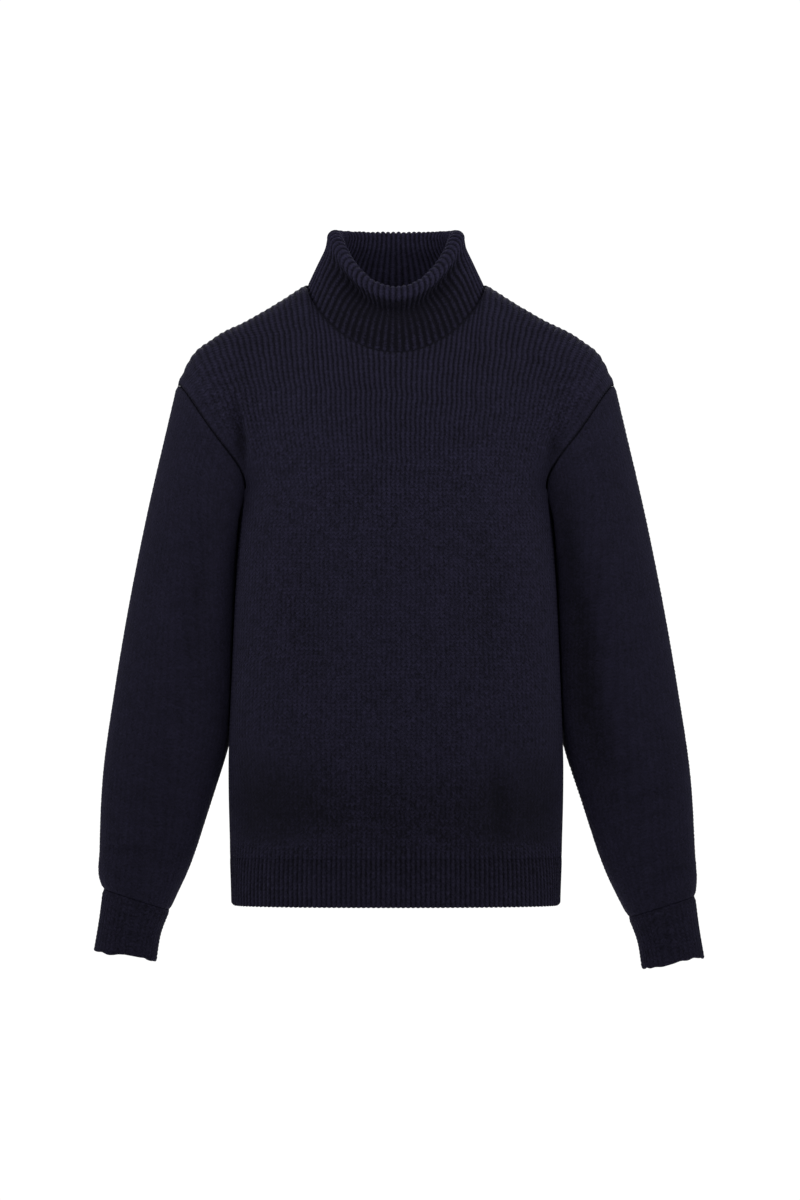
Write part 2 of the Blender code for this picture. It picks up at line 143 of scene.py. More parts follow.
def bell(distance, width):
    """1 on a line, dying out softly on both sides of it."""
    return np.exp(-((distance / width) ** 2))


def mix(low, high, part):
    return low + (high - low) * part


def unit(vectors):
    return vectors / np.maximum(np.linalg.norm(vectors, axis=-1, keepdims=True), 1e-9)


def line_length(points):
    return np.linalg.norm(np.diff(points, axis=0), axis=-1).sum()


print("halfway up a soft step:", smooth_step(0.5))

# %% [markdown]
# ## Sections of the torso
#
# On the real sweater the front and the back are knitted flat and joined at the sides. Filled out, each is
# half of a rounded oval. A cylinder squeezed by hand would give such a body too, but a table of sections
# is easier to keep true: it gives the oval at eight heights and a curve runs through them. The sizes are
# those of the solids, so that every shell lies on the form it stands for.

# %% Torso sections
HEM_Z = -690.0
HEM_BAND_HEIGHT = 53.0
PANEL_BOTTOM = HEM_Z + HEM_BAND_HEIGHT
ROUNDNESS = {FRONT: 2.35, BACK: 2.15}
TORSO_COLUMNS = ("z", "half_width", "front", "back", "seam_y")
TORSO = (
    (-690.0, 182.0, 104.0, 116.0, -6.0),
    (-637.0, 183.5, 106.0, 119.0, -8.0),
    (-540.0, 185.5, 109.0, 121.0, -10.0),
    (-430.0, 182.0, 110.0, 123.0, -12.0),
    (-330.0, 178.0, 110.0, 125.0, -12.0),
    (-270.0, 175.0, 113.0, 122.0, -6.0),
    (-210.0, 171.0, 117.0, 117.0, 2.0),
    (-150.0, 171.0, 117.0, 117.0, 2.0),
)


def torso_size(z, side):
    """Half width, reach and seam depth of the torso at a height."""
    size = spline(TORSO, z)
    wanted = ("half_width", "front" if side == FRONT else "back", "seam_y")
    return tuple(size[..., TORSO_COLUMNS.index(name)] for name in wanted)


def torso_points(z, side, angle):
    half_width, reach, seam_y = torso_size(z, side)
    exponent = 2 / ROUNDNESS[side]
    x = half_width * power(np.sin(angle), exponent)
    y = seam_y + side * reach * np.abs(np.cos(angle)) ** exponent
    return np.stack([x, y, z + 0 * x], axis=-1)


print("half width at the hem", torso_size(HEM_Z, FRONT)[0], "mm")

# %% Even steps round the girth
WAIST_Z = -400.0
GIRTH_STEPS = 721


def girth_angles(share, side):
    """Angles round the half section at even shares of its girth, -90 to 90 degrees."""
    angle = np.linspace(-math.pi / 2, math.pi / 2, GIRTH_STEPS)
    ring = torso_points(np.full(GIRTH_STEPS, WAIST_Z), side, angle)
    length = np.concatenate([[0], np.cumsum(np.linalg.norm(np.diff(ring, axis=0), axis=1))])
    return np.interp(share, length / length[-1], angle)


waist_turn = np.linspace(-math.pi / 2, math.pi / 2, GIRTH_STEPS)
waist_z = np.full(GIRTH_STEPS, WAIST_Z)
waist = [line_length(torso_points(waist_z, side, waist_turn)) for side in (FRONT, BACK)]
print("girth at the waist", round(sum(waist)), "mm")

# %% [markdown]
# ## The seams: armhole, neck and shoulder
#
# The sleeve is set in at a dropped shoulder. Its seam runs from the shoulder's tip down and in to the
# underarm, nearly straight as the camera sees it, and bows in a little towards its lower end where the arm
# presses into the body. The neck seam is a wide oval, low in front. Each could be found by cutting one
# mesh with another, but then the two edges would not match point for point. So each seam is a function
# of its own, and the pieces on both sides are built up to the same line.

# %% Armhole
SHOULDER_TIP = (243.0, -112.0)
UNDERARM = (172.0, -245.0)
ARMHOLE_Y = 5.0
ARMHOLE_HALF_DEPTH = {FRONT: 70.0, BACK: 68.0}
ARMHOLE_BOW = {FRONT: 8.5, BACK: 8.0}
ARMPIT_BOW = {FRONT: 34.0, BACK: 10.0}


def armhole(turn, side):
    """The armhole of the +X side: turn 0 at the shoulder tip, pi at the underarm."""
    tip = np.array(SHOULDER_TIP)
    under = np.array(UNDERARM)
    half = np.linalg.norm(tip - under) / 2
    along = (tip - under) / (2 * half)
    inboard = np.array([-along[1], along[0]])
    turn = np.asarray(turn, float)[..., None]
    armpit = np.sin(turn) ** 2 * ((1 - np.cos(turn)) / 2) ** 3
    bow = (ARMHOLE_BOW[side] * np.sin(turn) + ARMPIT_BOW[side] * armpit) * inboard
    seen = (tip + under) / 2 + half * np.cos(turn) * along + bow
    y = ARMHOLE_Y + side * ARMHOLE_HALF_DEPTH[side] * np.sin(turn[..., 0])
    return np.stack([seen[..., 0], y, seen[..., 1]], axis=-1)


half_turn = np.linspace(0, math.pi, 200)
print("armhole", round(sum(line_length(armhole(half_turn, side)) for side in (FRONT, BACK))), "mm round")

# %% Neck seam and shoulder seam
SHOULDER_COLUMNS = ("x", "z")
SHOULDER = (
    (0.0, 27.0),
    (50.0, 20.0),
    (100.0, 0.0),
    (126.0, -16.5),
    (164.0, -39.0),
    (205.0, -61.0),
    (230.0, -84.0),
    (243.0, -112.0),
)
SHOULDER_SEAM_Y = 8.0
NECK_HALF_WIDTH = 100.0
NECK_REACH = {FRONT: 96.0, BACK: 58.0}
NECK_RISE = {FRONT: -75.0, BACK: 3.0}
NECK_CURVE = 1.5


def neck_point(x, side):
    across = np.clip(x / NECK_HALF_WIDTH, -1, 1)
    ahead = np.sqrt(1 - across**2)
    y = SHOULDER_SEAM_Y + side * NECK_REACH[side] * ahead
    return np.stack([x, y, NECK_RISE[side] * ahead**NECK_CURVE], axis=-1)


def shoulder_point(x):
    height = spline(SHOULDER, np.abs(x))[..., SHOULDER_COLUMNS.index("z")]
    out = np.clip((np.abs(x) - NECK_HALF_WIDTH) / (SHOULDER_TIP[0] - NECK_HALF_WIDTH), 0, 1)
    y = SHOULDER_SEAM_Y + out * (ARMHOLE_Y - SHOULDER_SEAM_Y)
    return np.stack([x, y, height], axis=-1)


neck_x = NECK_HALF_WIDTH * np.linspace(-1, 1, 400)
print("neck seam", round(sum(line_length(neck_point(neck_x, side)) for side in (FRONT, BACK))), "mm round")

# %% [markdown]
# ## The form of the front and the back
#
# Each rib of the knit runs from the hem to the shoulder. So the form is a grid: its columns follow the
# ribs, spaced evenly by the girth, and its rows are the knitted courses. Beside the armhole the outer ribs
# end in a scoop. Above it each rib curves up the chest or the back to the shoulder, and the round neck
# seam cuts the middle ones short. A cut-out from a plain sheet would break the ribs off at the seams
# instead of leading them there.

# %% Rows, with closer ones at an edge
RIM_STEPS = np.array([0.0, 0.4, 1.1, 2.1])


def rim_rows(length, spacing):
    """Shares along a length: even steps, and closer ones at both ends, where the edge rolls over."""
    rim = RIM_STEPS / length
    count = max(2, round((length - 2 * RIM_STEPS[-1]) / spacing))
    middle = np.linspace(rim[-1], 1 - rim[-1], count + 1)
    return np.concatenate([rim[:-1], middle, 1 - rim[-2::-1]])


def rows_from_rim(length, spacing):
    """Shares along a length, with closer steps at its start alone."""
    shares = 2 * rim_rows(2 * length, spacing)
    return np.append(shares[shares < 1 - 1e-6], 1.0)


print("rows on 60 mm:", len(rim_rows(60.0, 4.0)))

# %% The scoop under the arm
MIRROR = np.array([-1.0, 1.0, 1.0])
PANEL_RIBS = 88
SCOOP_RIBS = 6
SCOOP_TURN = 0.2 * math.pi
ARMHOLE_BLEND_RIBS = 16


def underarm_line(side, angle, per_rib):
    """The row across the chest that ends in the scoops, and how strongly each column follows an armhole."""
    edge = per_rib * SCOOP_RIBS
    scoop = armhole(math.pi - np.linspace(0, SCOOP_TURN, edge + 1), side)
    line = torso_points(np.full(len(angle), scoop[-1, 2]), side, angle)
    from_edge = np.clip((np.arange(len(angle)) - edge) / (per_rib * ARMHOLE_BLEND_RIBS), 0, 1)
    follow = (1 - from_edge[:, None]) ** 2
    miss = scoop[-1] - line[-1 - edge]
    line = line + follow * miss * MIRROR + follow[::-1] * miss
    line[: edge + 1] = scoop * MIRROR
    line[-1 - edge :] = scoop[::-1]
    return line, follow


def lower_rows(line, side, angle, parts):
    """Rows from the hem band up to the underarm line: torso sections that drift over to it."""
    drift = line - torso_points(line[:, 2], side, angle)
    drift[:, 2] = 0
    rows = []
    for part in parts:
        z = mix(PANEL_BOTTOM, line[:, 2], part)
        rows.append(torso_points(z, side, angle) + part**3 * drift)
    return np.array(rows)


print("ribs that end in a scoop, on both panels:", 4 * SCOOP_RIBS)

# %% Over the chest to the shoulder
UP_PULL, OVER_PULL = 1.45, 1.5
NECK_SEARCH_STEPS = 401
CROWDING = 0.6
MOST_CROWDING = 3.0
LEAST_CUT = 0.01


def neck_cut(curve, seam, in_neck):
    """The share of each rib's way to the shoulder at which the neck seam cuts it."""
    tries = np.linspace(0, 1, NECK_SEARCH_STEPS)
    miss = np.linalg.norm(hermite(*curve, tries[:, None, None]) - seam, axis=-1)
    return np.where(in_neck, tries[miss.argmin(axis=0)], 1.0)[:, None]


def upper_rows(start, follow, side, parts):
    """Rows from the underarm line up to the shoulder seam and the neck seam."""
    x = np.linspace(-1, 1, len(start)) * SHOULDER_TIP[0]
    end = shoulder_point(x)
    rise = end - start
    start_pull = np.stack([rise[:, 0], 0 * x, UP_PULL * rise[:, 2]], axis=-1)
    end_pull = np.stack([rise[:, 0], OVER_PULL * rise[:, 1], 0 * x], axis=-1)
    curve = (start, end, start_pull, end_pull)
    seam = neck_point(x, side)
    in_neck = np.abs(x) < NECK_HALF_WIDTH
    cut = neck_cut(curve, seam, in_neck)
    crowding = np.minimum(MOST_CROWDING, CROWDING * cut / np.maximum(1 - cut, LEAST_CUT))
    part = np.asarray(parts)[:, None, None]
    rows = hermite(*curve, part * (1 - (1 - cut) * part**crowding))
    rows = rows + part**2 * np.where(in_neck[:, None], seam - rows[-1], 0)
    ring = armhole((math.pi - SCOOP_TURN) * (1 - np.asarray(parts)), side)
    gap = (ring - rows[:, -1])[:, None]
    return rows + follow * gap * MIRROR + follow[::-1] * gap


ribs_at_top = PANEL_RIBS - 2 * SCOOP_RIBS
print("ribs of a panel that end in the neck:", round(ribs_at_top * NECK_HALF_WIDTH / SHOULDER_TIP[0]))

# %% A whole panel
SEAM_GAP = 0.3


def panel_form(side, lower_parts, upper_parts, per_rib):
    """Rows by columns of points, columns from -X to +X, and which cells there are."""
    columns = per_rib * PANEL_RIBS + 1
    edge = per_rib * SCOOP_RIBS
    middle = slice(edge, columns - edge)
    angle = girth_angles(np.linspace(0, 1, columns), side)
    line, follow = underarm_line(side, angle, per_rib)
    lower = lower_rows(line, side, angle, lower_parts)
    upper = upper_rows(line[middle], follow[middle], side, upper_parts)
    corner = len(lower) - 1
    form = np.zeros((corner + len(upper), columns, 3))
    form[: corner + 1] = lower
    form[corner:, middle] = upper
    form[..., 1] += side * SEAM_GAP / 2
    live = np.ones((len(form) - 1, columns - 1), bool)
    live[corner:, :edge] = False
    live[corner:, -edge:] = False
    return form, live


def hem_form(side, per_rib, spacing):
    """The hem band's rows, on the same sections as the panel above it."""
    angle = girth_angles(np.linspace(0, 1, per_rib * PANEL_RIBS + 1), side)
    height = HEM_BAND_HEIGHT - SEAM_GAP
    z = HEM_Z + height * rim_rows(height, spacing)
    form = np.array([torso_points(np.full(len(angle), level), side, angle) for level in z])
    form[..., 1] += side * SEAM_GAP / 2
    return form, z - HEM_Z


coarse_front, _ = panel_form(FRONT, np.linspace(0, 1, 5), np.linspace(0, 1, 5), 1)
lowest, highest = coarse_front.min(axis=(0, 1)), coarse_front.max(axis=(0, 1))
print("the front reaches from", lowest.round(1), "to", highest.round(1))

# %% [markdown]
# ## The form of the sleeves and cuffs
#
# A sleeve is a tube, so each row is a ring. The first ring is the armhole, the others are rounded ovals
# that lean with the arm. A circle swept along a curve would make a tube too, but its end would not fit the
# armhole. A hanging sleeve lies against the body, so its inner side is pressed flat along the torso, just
# clear of it. The seam allowance at the top is turned in and closes the seam from inside.

# %% Sleeve and cuff sections, worked out for the +X side
SLEEVE_COLUMNS = ("outer_x", "outer_z", "inner_x", "inner_z", "centre_y", "half_depth", "inner_back")
SLEEVE = (
    (254.0, -158.0, 173.0, -272.0, 9.0, 69.0, 0.0),
    (273.0, -238.0, 174.0, -322.0, 18.0, 66.0, 12.0),
    (294.0, -340.0, 173.0, -392.0, 20.0, 62.0, 14.0),
    (313.0, -452.0, 179.5, -484.0, 14.0, 56.0, 6.0),
    (326.0, -550.0, 208.0, -580.0, 5.0, 48.0, 2.0),
    (329.0, -627.0, 233.0, -654.0, -7.0, 40.0, 0.0),
    (329.0, -661.0, 247.0, -684.0, -12.0, 34.0, 0.0),
    (325.0, -672.0, 252.0, -695.0, -13.0, 31.0, 0.0),
)
CUFF = (
    (325.0, -672.0, 252.0, -695.0, -13.0, 31.0, 0.0),
    (329.5, -707.0, 262.0, -722.0, -16.0, 26.0, 0.0),
    (335.0, -740.0, 267.0, -752.0, -18.0, 26.0, 0.0),
)
SLEEVE_ROUNDNESS = {"all round": 2.4, "inner front": 3.4}
INNER_CURVE = 6
# How far each cuff hangs from the tables' place: out to its side, and up.
HANG = {"left": (0.0, 0.0), "right": (7.0, -8.0)}


def sleeve_ring(row, angle, share, hang):
    """One section: angle 0 at the outer edge, 90 degrees at the front, 180 at the inner edge."""
    section = dict(zip(SLEEVE_COLUMNS, row))
    shift = np.array(hang) * share**3
    outer = np.array([section["outer_x"], section["outer_z"]]) + shift
    inner = np.array([section["inner_x"], section["inner_z"]]) + shift
    inner_front = (angle > math.pi / 2) & (angle < math.pi)
    bend = np.where(inner_front, SLEEVE_ROUNDNESS["inner front"], SLEEVE_ROUNDNESS["all round"])
    seen = (outer + inner) / 2 + (outer - inner) / 2 * power(np.cos(angle), 2 / bend)[:, None]
    y = section["centre_y"] - section["half_depth"] * power(np.sin(angle), 2 / bend)
    y = y + section["inner_back"] * ((1 - np.cos(angle)) / 2) ** INNER_CURVE
    return np.stack([seen[:, 0], y, seen[:, 1]], axis=-1)


wrist = sleeve_ring(CUFF[1], np.linspace(0, 2 * math.pi, 200), 1.0, (0.0, 0.0))
print("cuff", round(line_length(wrist)), "mm round")

# %% Clear of the torso
TORSO_CLEARANCE = 2.2
CLEARANCE_SOFTNESS = 3.0


def clear_of_torso(points):
    """Presses the sleeve's inner side flat along the torso, so that it stays just clear of it."""
    moved = points.copy()
    side = np.where(points[..., 1] < torso_size(points[..., 2], FRONT)[2], FRONT, BACK)
    for face in (FRONT, BACK):
        half_width, reach, seam_y = torso_size(points[..., 2], face)
        depth = np.clip(np.abs(points[..., 1] - seam_y) / (reach + TORSO_CLEARANCE), 0, 1)
        bend = ROUNDNESS[face]
        limit = (half_width + TORSO_CLEARANCE) * (1 - depth**bend) ** (1 / bend)
        over = points[..., 0] - limit
        eased = limit + (over + np.sqrt(over**2 + CLEARANCE_SOFTNESS**2)) / 2
        moved[..., 0] = np.where(side == face, eased, moved[..., 0])
    return moved


on_torso = np.array([170.0, 0.0, -300.0])
print("a point on the torso moves out to x =", clear_of_torso(on_torso)[0].round(1))

# %% Tubes from rings
LIP_ROWS = 2
LIP_DIRECTION_ROW = 8


def along_rings(rings, spacing):
    """Rings at an even spacing on a smooth surface through the given ones, and their distance along it."""
    rings = np.array(rings)
    steps = np.linalg.norm(np.diff(rings, axis=0), axis=-1).mean(axis=1)
    keys = np.concatenate([[0], np.cumsum(steps)])
    at = keys[-1] * rim_rows(keys[-1], spacing)
    table = np.column_stack([keys, rings.reshape(len(rings), -1)])
    return spline(table, at)[:, 1:].reshape(len(at), -1, 3), at


def with_lip(form, length, inward, back):
    """Two rows before the first: the seam allowance, turned in and lying under the next piece."""
    centre = form[0].mean(axis=0)
    away = unit(centre - form[LIP_DIRECTION_ROW].mean(axis=0))
    near = form[0] + inward * unit(centre - form[0])
    lip = [near + back * away, near]
    return np.concatenate([lip, form]), np.concatenate([[-inward - back, -inward], length])


print("rows turned in under the next piece:", LIP_ROWS)

# %% Sleeve and cuff
SEAM_SHIFT = 0.5
CLEAR_FROM = 35.0
SLEEVE_LIP = (4.5, 4.0)
CUFF_LIP = (3.2, 4.0)
CUFF_RIBS = 40


def sleeve_form(hang, columns, spacing):
    angle = np.linspace(0, 2 * math.pi, columns, endpoint=False)
    ahead = angle <= math.pi
    ring = np.where(ahead[:, None], armhole(angle, FRONT), armhole(2 * math.pi - angle, BACK))
    along = unit(np.array(SHOULDER_TIP) - np.array(UNDERARM))
    rings = [ring + SEAM_SHIFT * np.array([along[1], 0.0, -along[0]])]
    for index, row in enumerate(SLEEVE):
        rings.append(sleeve_ring(row, angle, (index + 1) / len(SLEEVE), hang))
    form, at = along_rings(rings, spacing)
    clear = smooth_step(at / CLEAR_FROM)[:, None, None]
    form = form + clear * (clear_of_torso(form) - form)
    return with_lip(np.roll(form, columns // 2, axis=1), at, *SLEEVE_LIP)


def cuff_form(hang, per_rib, spacing):
    angle = np.linspace(0, 2 * math.pi, per_rib * CUFF_RIBS, endpoint=False)
    rings = [sleeve_ring(row, angle, 1.0, hang) for row in CUFF]
    rings[0] = rings[0] + SEAM_SHIFT * unit((rings[-1] - rings[0]).mean(axis=0))
    return with_lip(*along_rings(rings, spacing), *CUFF_LIP)


print("sleeve", round(sleeve_form((0.0, 0.0), 24, 20.0)[1][-1]), "mm long")

# %% [markdown]
# ## The form of the collar
#
# The collar is one long ribbed tube folded over at its top. Its rows climb the outer layer from the neck
# seam, round the soft roll and go down again inside. The roll sags in front, and just below it the outer
# layer falls back into a hollow, which is the darkest part of the photo. A tube swept along a circle could
# not follow a neck seam that is wide and low while the roll is narrow and high.

# %% Neck line and roll line of the collar
COLLAR_RIBS = 72
COLLAR_INSET = 1.4
COLLAR_TUCK = 4.0
ROLL_HALF_WIDTH = 67.5
ROLL_CENTRE_Y = -5.0
ROLL_REACH = {FRONT: 72.0, BACK: 54.0}
ROLL_BACK_Z = 52.0
ROLL_DIP = 65.0
ROLL_CURVE = 1.6


def collar_lines(angle):
    """The tube's lower line in the neck seam, the middle line of its roll, and the way out of the roll."""
    ahead, across = np.cos(angle), np.sin(angle)
    neck_reach = np.where(ahead > 0, NECK_REACH[FRONT], NECK_REACH[BACK])
    neck_rise = np.where(ahead > 0, NECK_RISE[FRONT], NECK_RISE[BACK])
    roll_reach = np.where(ahead > 0, ROLL_REACH[FRONT], ROLL_REACH[BACK])
    neck = (
        (NECK_HALF_WIDTH - COLLAR_INSET) * across,
        SHOULDER_SEAM_Y - (neck_reach - COLLAR_INSET) * ahead,
        neck_rise * np.abs(ahead) ** NECK_CURVE - COLLAR_TUCK,
    )
    roll = (
        ROLL_HALF_WIDTH * across,
        ROLL_CENTRE_Y - roll_reach * ahead,
        ROLL_BACK_Z - ROLL_DIP * np.clip(ahead, 0, 1) ** ROLL_CURVE,
    )
    outward = (across * roll_reach, -ahead * ROLL_HALF_WIDTH, 0 * angle)
    return np.stack(neck, axis=-1), np.stack(roll, axis=-1), unit(np.stack(outward, axis=-1))


way_round = np.linspace(0, 2 * math.pi, 200)
print("the roll of the collar", round(line_length(collar_lines(way_round)[1])), "mm round")

# %% Rings of the collar
ROLL_RADIUS = 8.0
FLARE = 1.15
# The angle at which the outer layer leaves the roll, in degrees from level, and how deep the hollow
# under the roll is.
UNDERCUT = {"side": -12.0, "front": -75.0, "back": -40.0}
RECESS = {"side": 1.2, "front": 10.0, "back": 3.0}
RECESS_CURVE = 3.0
MIDDLE_FROM, MIDDLE_FULL = 0.25, 0.8
INNER_LAYER_INSET = 8.0
# The collar's seam allowance, turned out under the panels' edge.
SEAM_TURN_OUT = 2.6
SEAM_TURN_DOWN = 3.6
UP = np.array([0.0, 0.0, 1.0])


def round_the_collar(size, ahead):
    """A size that is one value at the sides and others in the middle of the front and the back."""
    middle = smooth_step((np.abs(ahead) - MIDDLE_FROM) / (MIDDLE_FULL - MIDDLE_FROM))
    return mix(size["side"], np.where(ahead > 0, size["front"], size["back"]), middle)[:, None]


def collar_form(per_rib, outer_rows, roll_rows, inner_rows):
    angle = np.linspace(0, 2 * math.pi, per_rib * COLLAR_RIBS, endpoint=False)
    neck, roll, outward = collar_lines(angle)
    undercut = np.radians(round_the_collar(UNDERCUT, np.cos(angle)))
    recess = round_the_collar(RECESS, np.cos(angle))
    face = roll + ROLL_RADIUS * (np.cos(undercut) * outward + np.sin(undercut) * UP)
    rings = [neck + SEAM_TURN_OUT * outward - SEAM_TURN_DOWN * UP]
    for step in np.linspace(0, 1, outer_rows, endpoint=False):
        ring = face + (neck - face) * (1 - step) ** FLARE
        ring[:, 2] = mix(neck[:, 2], face[:, 2], step)
        rings.append(ring - recess * math.sin(math.pi * step**RECESS_CURVE) ** 2 * outward)
    for part in np.linspace(0, 1, roll_rows):
        turn = mix(undercut, math.pi, part)
        rings.append(roll + ROLL_RADIUS * (np.cos(turn) * outward + np.sin(turn) * UP))
    top = rings[-1]
    bottom = neck - INNER_LAYER_INSET * outward
    for step in np.linspace(0, 1, inner_rows + 1)[1:]:
        hollow = recess * math.sin(math.pi * (1 - step) ** RECESS_CURVE) ** 2
        rings.append(mix(top, bottom, step) - hollow * outward)
    rings = np.array(rings)
    steps = np.linalg.norm(np.diff(rings, axis=0), axis=-1).mean(axis=1)
    return rings, np.concatenate([[0], np.cumsum(steps)])


print("collar's two layers", round(collar_form(1, 10, 8, 8)[1][-1]), "mm from seam to seam")

# %% [markdown]
# ## Ribs
#
# A rib is one wale of knit stitches standing over a furrow. Its section is a sine raised to a power, so
# the crest is full and the furrow narrow. No two ribs of a worn sweater are quite alike, so each one
# wanders and swells a little. They could be drawn by bump alone, but then the outline would be smooth,
# and the photo shows every rib along the shoulders and the collar.

# %% Rib relief
RIB_RELIEF = 1.2
FURROW = 0.7
RIB_FULLNESS = 0.8
RIB_STRENGTHS = (0.86, 1.1)
RIB_SWELLS = ((0.07, 23.0), (0.05, 9.5))
# The height of the knit where the ribs are pulled flat.
FADED_LEVEL = 0.8
YARN_SEED = 7


def rib_relief(turn, length, ribs, seed, show):
    """Height over the form. turn counts ribs, length runs along them, show is how far they stand out."""
    draw = np.random.default_rng(YARN_SEED + seed)
    strength = draw.uniform(*RIB_STRENGTHS, ribs + 1)
    phases = draw.uniform(0, 2 * math.pi, (len(RIB_SWELLS), ribs + 1))
    rib = np.clip(np.floor(turn).astype(int), 0, ribs)
    swell = 1
    for (size, wave), phase in zip(RIB_SWELLS, phases):
        swell = swell + size * np.sin(length / wave + phase[rib])
    crest = np.abs(np.sin(math.pi * turn)) ** RIB_FULLNESS
    return mix(FADED_LEVEL, -FURROW + (RIB_RELIEF + FURROW) * crest * strength[rib] * swell, show)


print("a rib stands", round(RIB_RELIEF + FURROW, 1), "mm above its furrows")

# %% Ribs that wander
WANDERS = ((71.0, 0.55), (37.0, 0.4), (19.0, 0.25))
WANDER_DEPTH_SHARE = 1.7
WANDER_SLANT = 1.3


def wander(form, length, seed):
    """Moves the ribs a little to either side along their way."""
    draw = np.random.default_rng(YARN_SEED + seed)
    sideways = unit(np.gradient(form, axis=1))
    place = form[..., 0] + WANDER_DEPTH_SHARE * form[..., 1]
    amount = 0
    for wave, size in WANDERS:
        drift = draw.uniform(0, 2 * math.pi)
        amount = amount + size * np.sin(length / wave * 2 * math.pi + place / (wave * WANDER_SLANT) + drift)
    return form + sideways * amount[..., None]


print("a rib swells by up to", round(sum(size for size, _ in RIB_SWELLS), 2), "of its height")

# %% [markdown]
# ## Folds
#
# A thick knit has few folds, and they are soft: a trough with a low ridge on both sides, never a sharp
# crease. A cloth simulation would place them by chance. Here each one is set in a short table, a
# line between two points as seen from in front, with its depth, its width and how far it bows.

# %% Fold tables
FOLD_COLUMNS = ("side", "x0", "z0", "x1", "z1", "depth", "width", "bow")
BODY_FOLDS = (
    (FRONT, -178.0, -132.0, -171.0, -206.0, 8.0, 6.5, 2.0),
    (FRONT, 182.0, -158.0, 172.0, -206.0, 4.5, 7.0, -2.0),
    (FRONT, 103.0, -530.0, 119.0, -622.0, 2.4, 12.0, 4.0),
    (FRONT, -96.0, -290.0, -84.0, -520.0, 2.6, 30.0, -6.0),
    (FRONT, 92.0, -270.0, 96.0, -500.0, 3.0, 28.0, 6.0),
    (FRONT, -270.0, -570.0, -40.0, -588.0, 7.4, 56.0, 4.0),
    (FRONT, -130.0, -588.0, 130.0, -588.0, 3.6, 48.0, -3.0),
    (FRONT, 40.0, -590.0, 280.0, -562.0, 7.4, 60.0, -4.0),
    (FRONT, 150.0, -90.0, 196.0, -150.0, 1.4, 14.0, 5.0),
    (FRONT, -140.0, -78.0, -200.0, -130.0, 1.2, 14.0, -5.0),
    (BACK, -172.0, -150.0, -160.0, -236.0, 3.4, 15.0, 3.0),
    (BACK, 174.0, -146.0, 162.0, -232.0, 3.6, 15.0, -3.0),
    (BACK, -110.0, -330.0, 40.0, -352.0, 2.6, 20.0, 6.0),
    (BACK, -30.0, -420.0, 130.0, -398.0, 2.4, 22.0, -7.0),
    (BACK, -96.0, -500.0, -70.0, -622.0, 2.2, 18.0, 5.0),
    (BACK, 90.0, -490.0, 74.0, -618.0, 2.4, 17.0, -4.0),
)
SLEEVE_FOLDS = {
    "left": (
        (FRONT, 206.0, -262.0, 222.0, -430.0, 2.4, 13.0, 4.0),
        (FRONT, 262.0, -636.0, 312.0, -628.0, 2.6, 8.0, 3.0),
        (FRONT, 226.0, -590.0, 300.0, -566.0, 1.8, 12.0, 5.0),
        (BACK, 196.0, -380.0, 285.0, -410.0, 3.4, 12.0, 6.0),
        (BACK, 205.0, -440.0, 295.0, -446.0, 2.8, 12.0, -5.0),
        (BACK, 240.0, -612.0, 318.0, -634.0, 2.4, 10.0, 3.0),
    ),
    "right": (
        (FRONT, 184.0, -216.0, 208.0, -400.0, 7.0, 17.0, -4.0),
        (FRONT, 202.0, -360.0, 232.0, -560.0, 9.0, 22.0, -6.0),
        (FRONT, 240.0, -577.0, 312.0, -566.0, 2.6, 10.0, 4.0),
        (FRONT, 282.0, -668.0, 322.0, -644.0, 3.2, 8.0, 2.0),
        (BACK, 190.0, -372.0, 288.0, -396.0, 3.2, 12.0, -5.0),
        (BACK, 204.0, -430.0, 300.0, -452.0, 3.0, 13.0, 5.0),
        (BACK, 250.0, -622.0, 322.0, -630.0, 2.2, 10.0, 3.0),
    ),
}
print("folds:", len(BODY_FOLDS), "on the body and", sum(map(len, SLEEVE_FOLDS.values())), "on the sleeves")

# %% Folds pressed into a grid
# A fold keeps this share of its depth at its two ends, and its ridges this share beside its middle.
FOLD_END_DEPTH = 0.3
RIDGE_HEIGHT = 0.35
RIDGE_AWAY = 1.9
# A fold stays on its own side of the garment: it fades where the cloth turns away from that side.
FACING_GAIN, FACING_START = 1.7, 0.15
# Painted shade: more of it in a trough and less on a ridge, so much for each millimetre.
FOLD_SHADE = 0.04


def fold_height(points, normals, folds):
    """How far the cloth moves along its normal: down in a fold's trough, up on its two low ridges."""
    height = np.zeros(points.shape[:-1])
    seen = points[..., [0, 2]]
    for row in folds:
        fold = dict(zip(FOLD_COLUMNS, row))
        start = np.array([fold["x0"], fold["z0"]])
        end = np.array([fold["x1"], fold["z1"]])
        length = np.linalg.norm(end - start)
        along = (end - start) / length
        across = np.array([-along[1], along[0]])
        part = np.clip((seen - start) @ along / length, 0, 1)
        middle = np.sin(math.pi * part)
        line = start + part[..., None] * (end - start) + (fold["bow"] * middle)[..., None] * across
        away = np.linalg.norm(seen - line, axis=-1) / fold["width"]
        facing = smooth_step(FACING_GAIN * fold["side"] * normals[..., 1] - FACING_START)
        shape = -bell(away, 1) + RIDGE_HEIGHT * bell(away - RIDGE_AWAY, 1)
        height += fold["depth"] * mix(FOLD_END_DEPTH, 1, middle) * facing * shape
    return height


deepest = max(dict(zip(FOLD_COLUMNS, row))["depth"] for row in BODY_FOLDS)
print("deepest fold of the body", deepest, "mm")

# %% [markdown]
# ## Seams and rolled edges
#
# At a sewn seam the knit is drawn in, so it dips and its stitches close up, and shade is painted along
# it. At a free edge it rolls over, round a quarter circle. A bevel would round the edges too, but it
# would cut across the ribs that end there. So both are part of the surface's height, which depends on
# the distance to the line in millimetres, and the ribs run on over them.

# %% Edges by their distance
ROLL_IN = 1.3
ROLL_WIDTH = 2.2
SEAM_DIP = 1.5
SEAM_WIDTH = 2.598


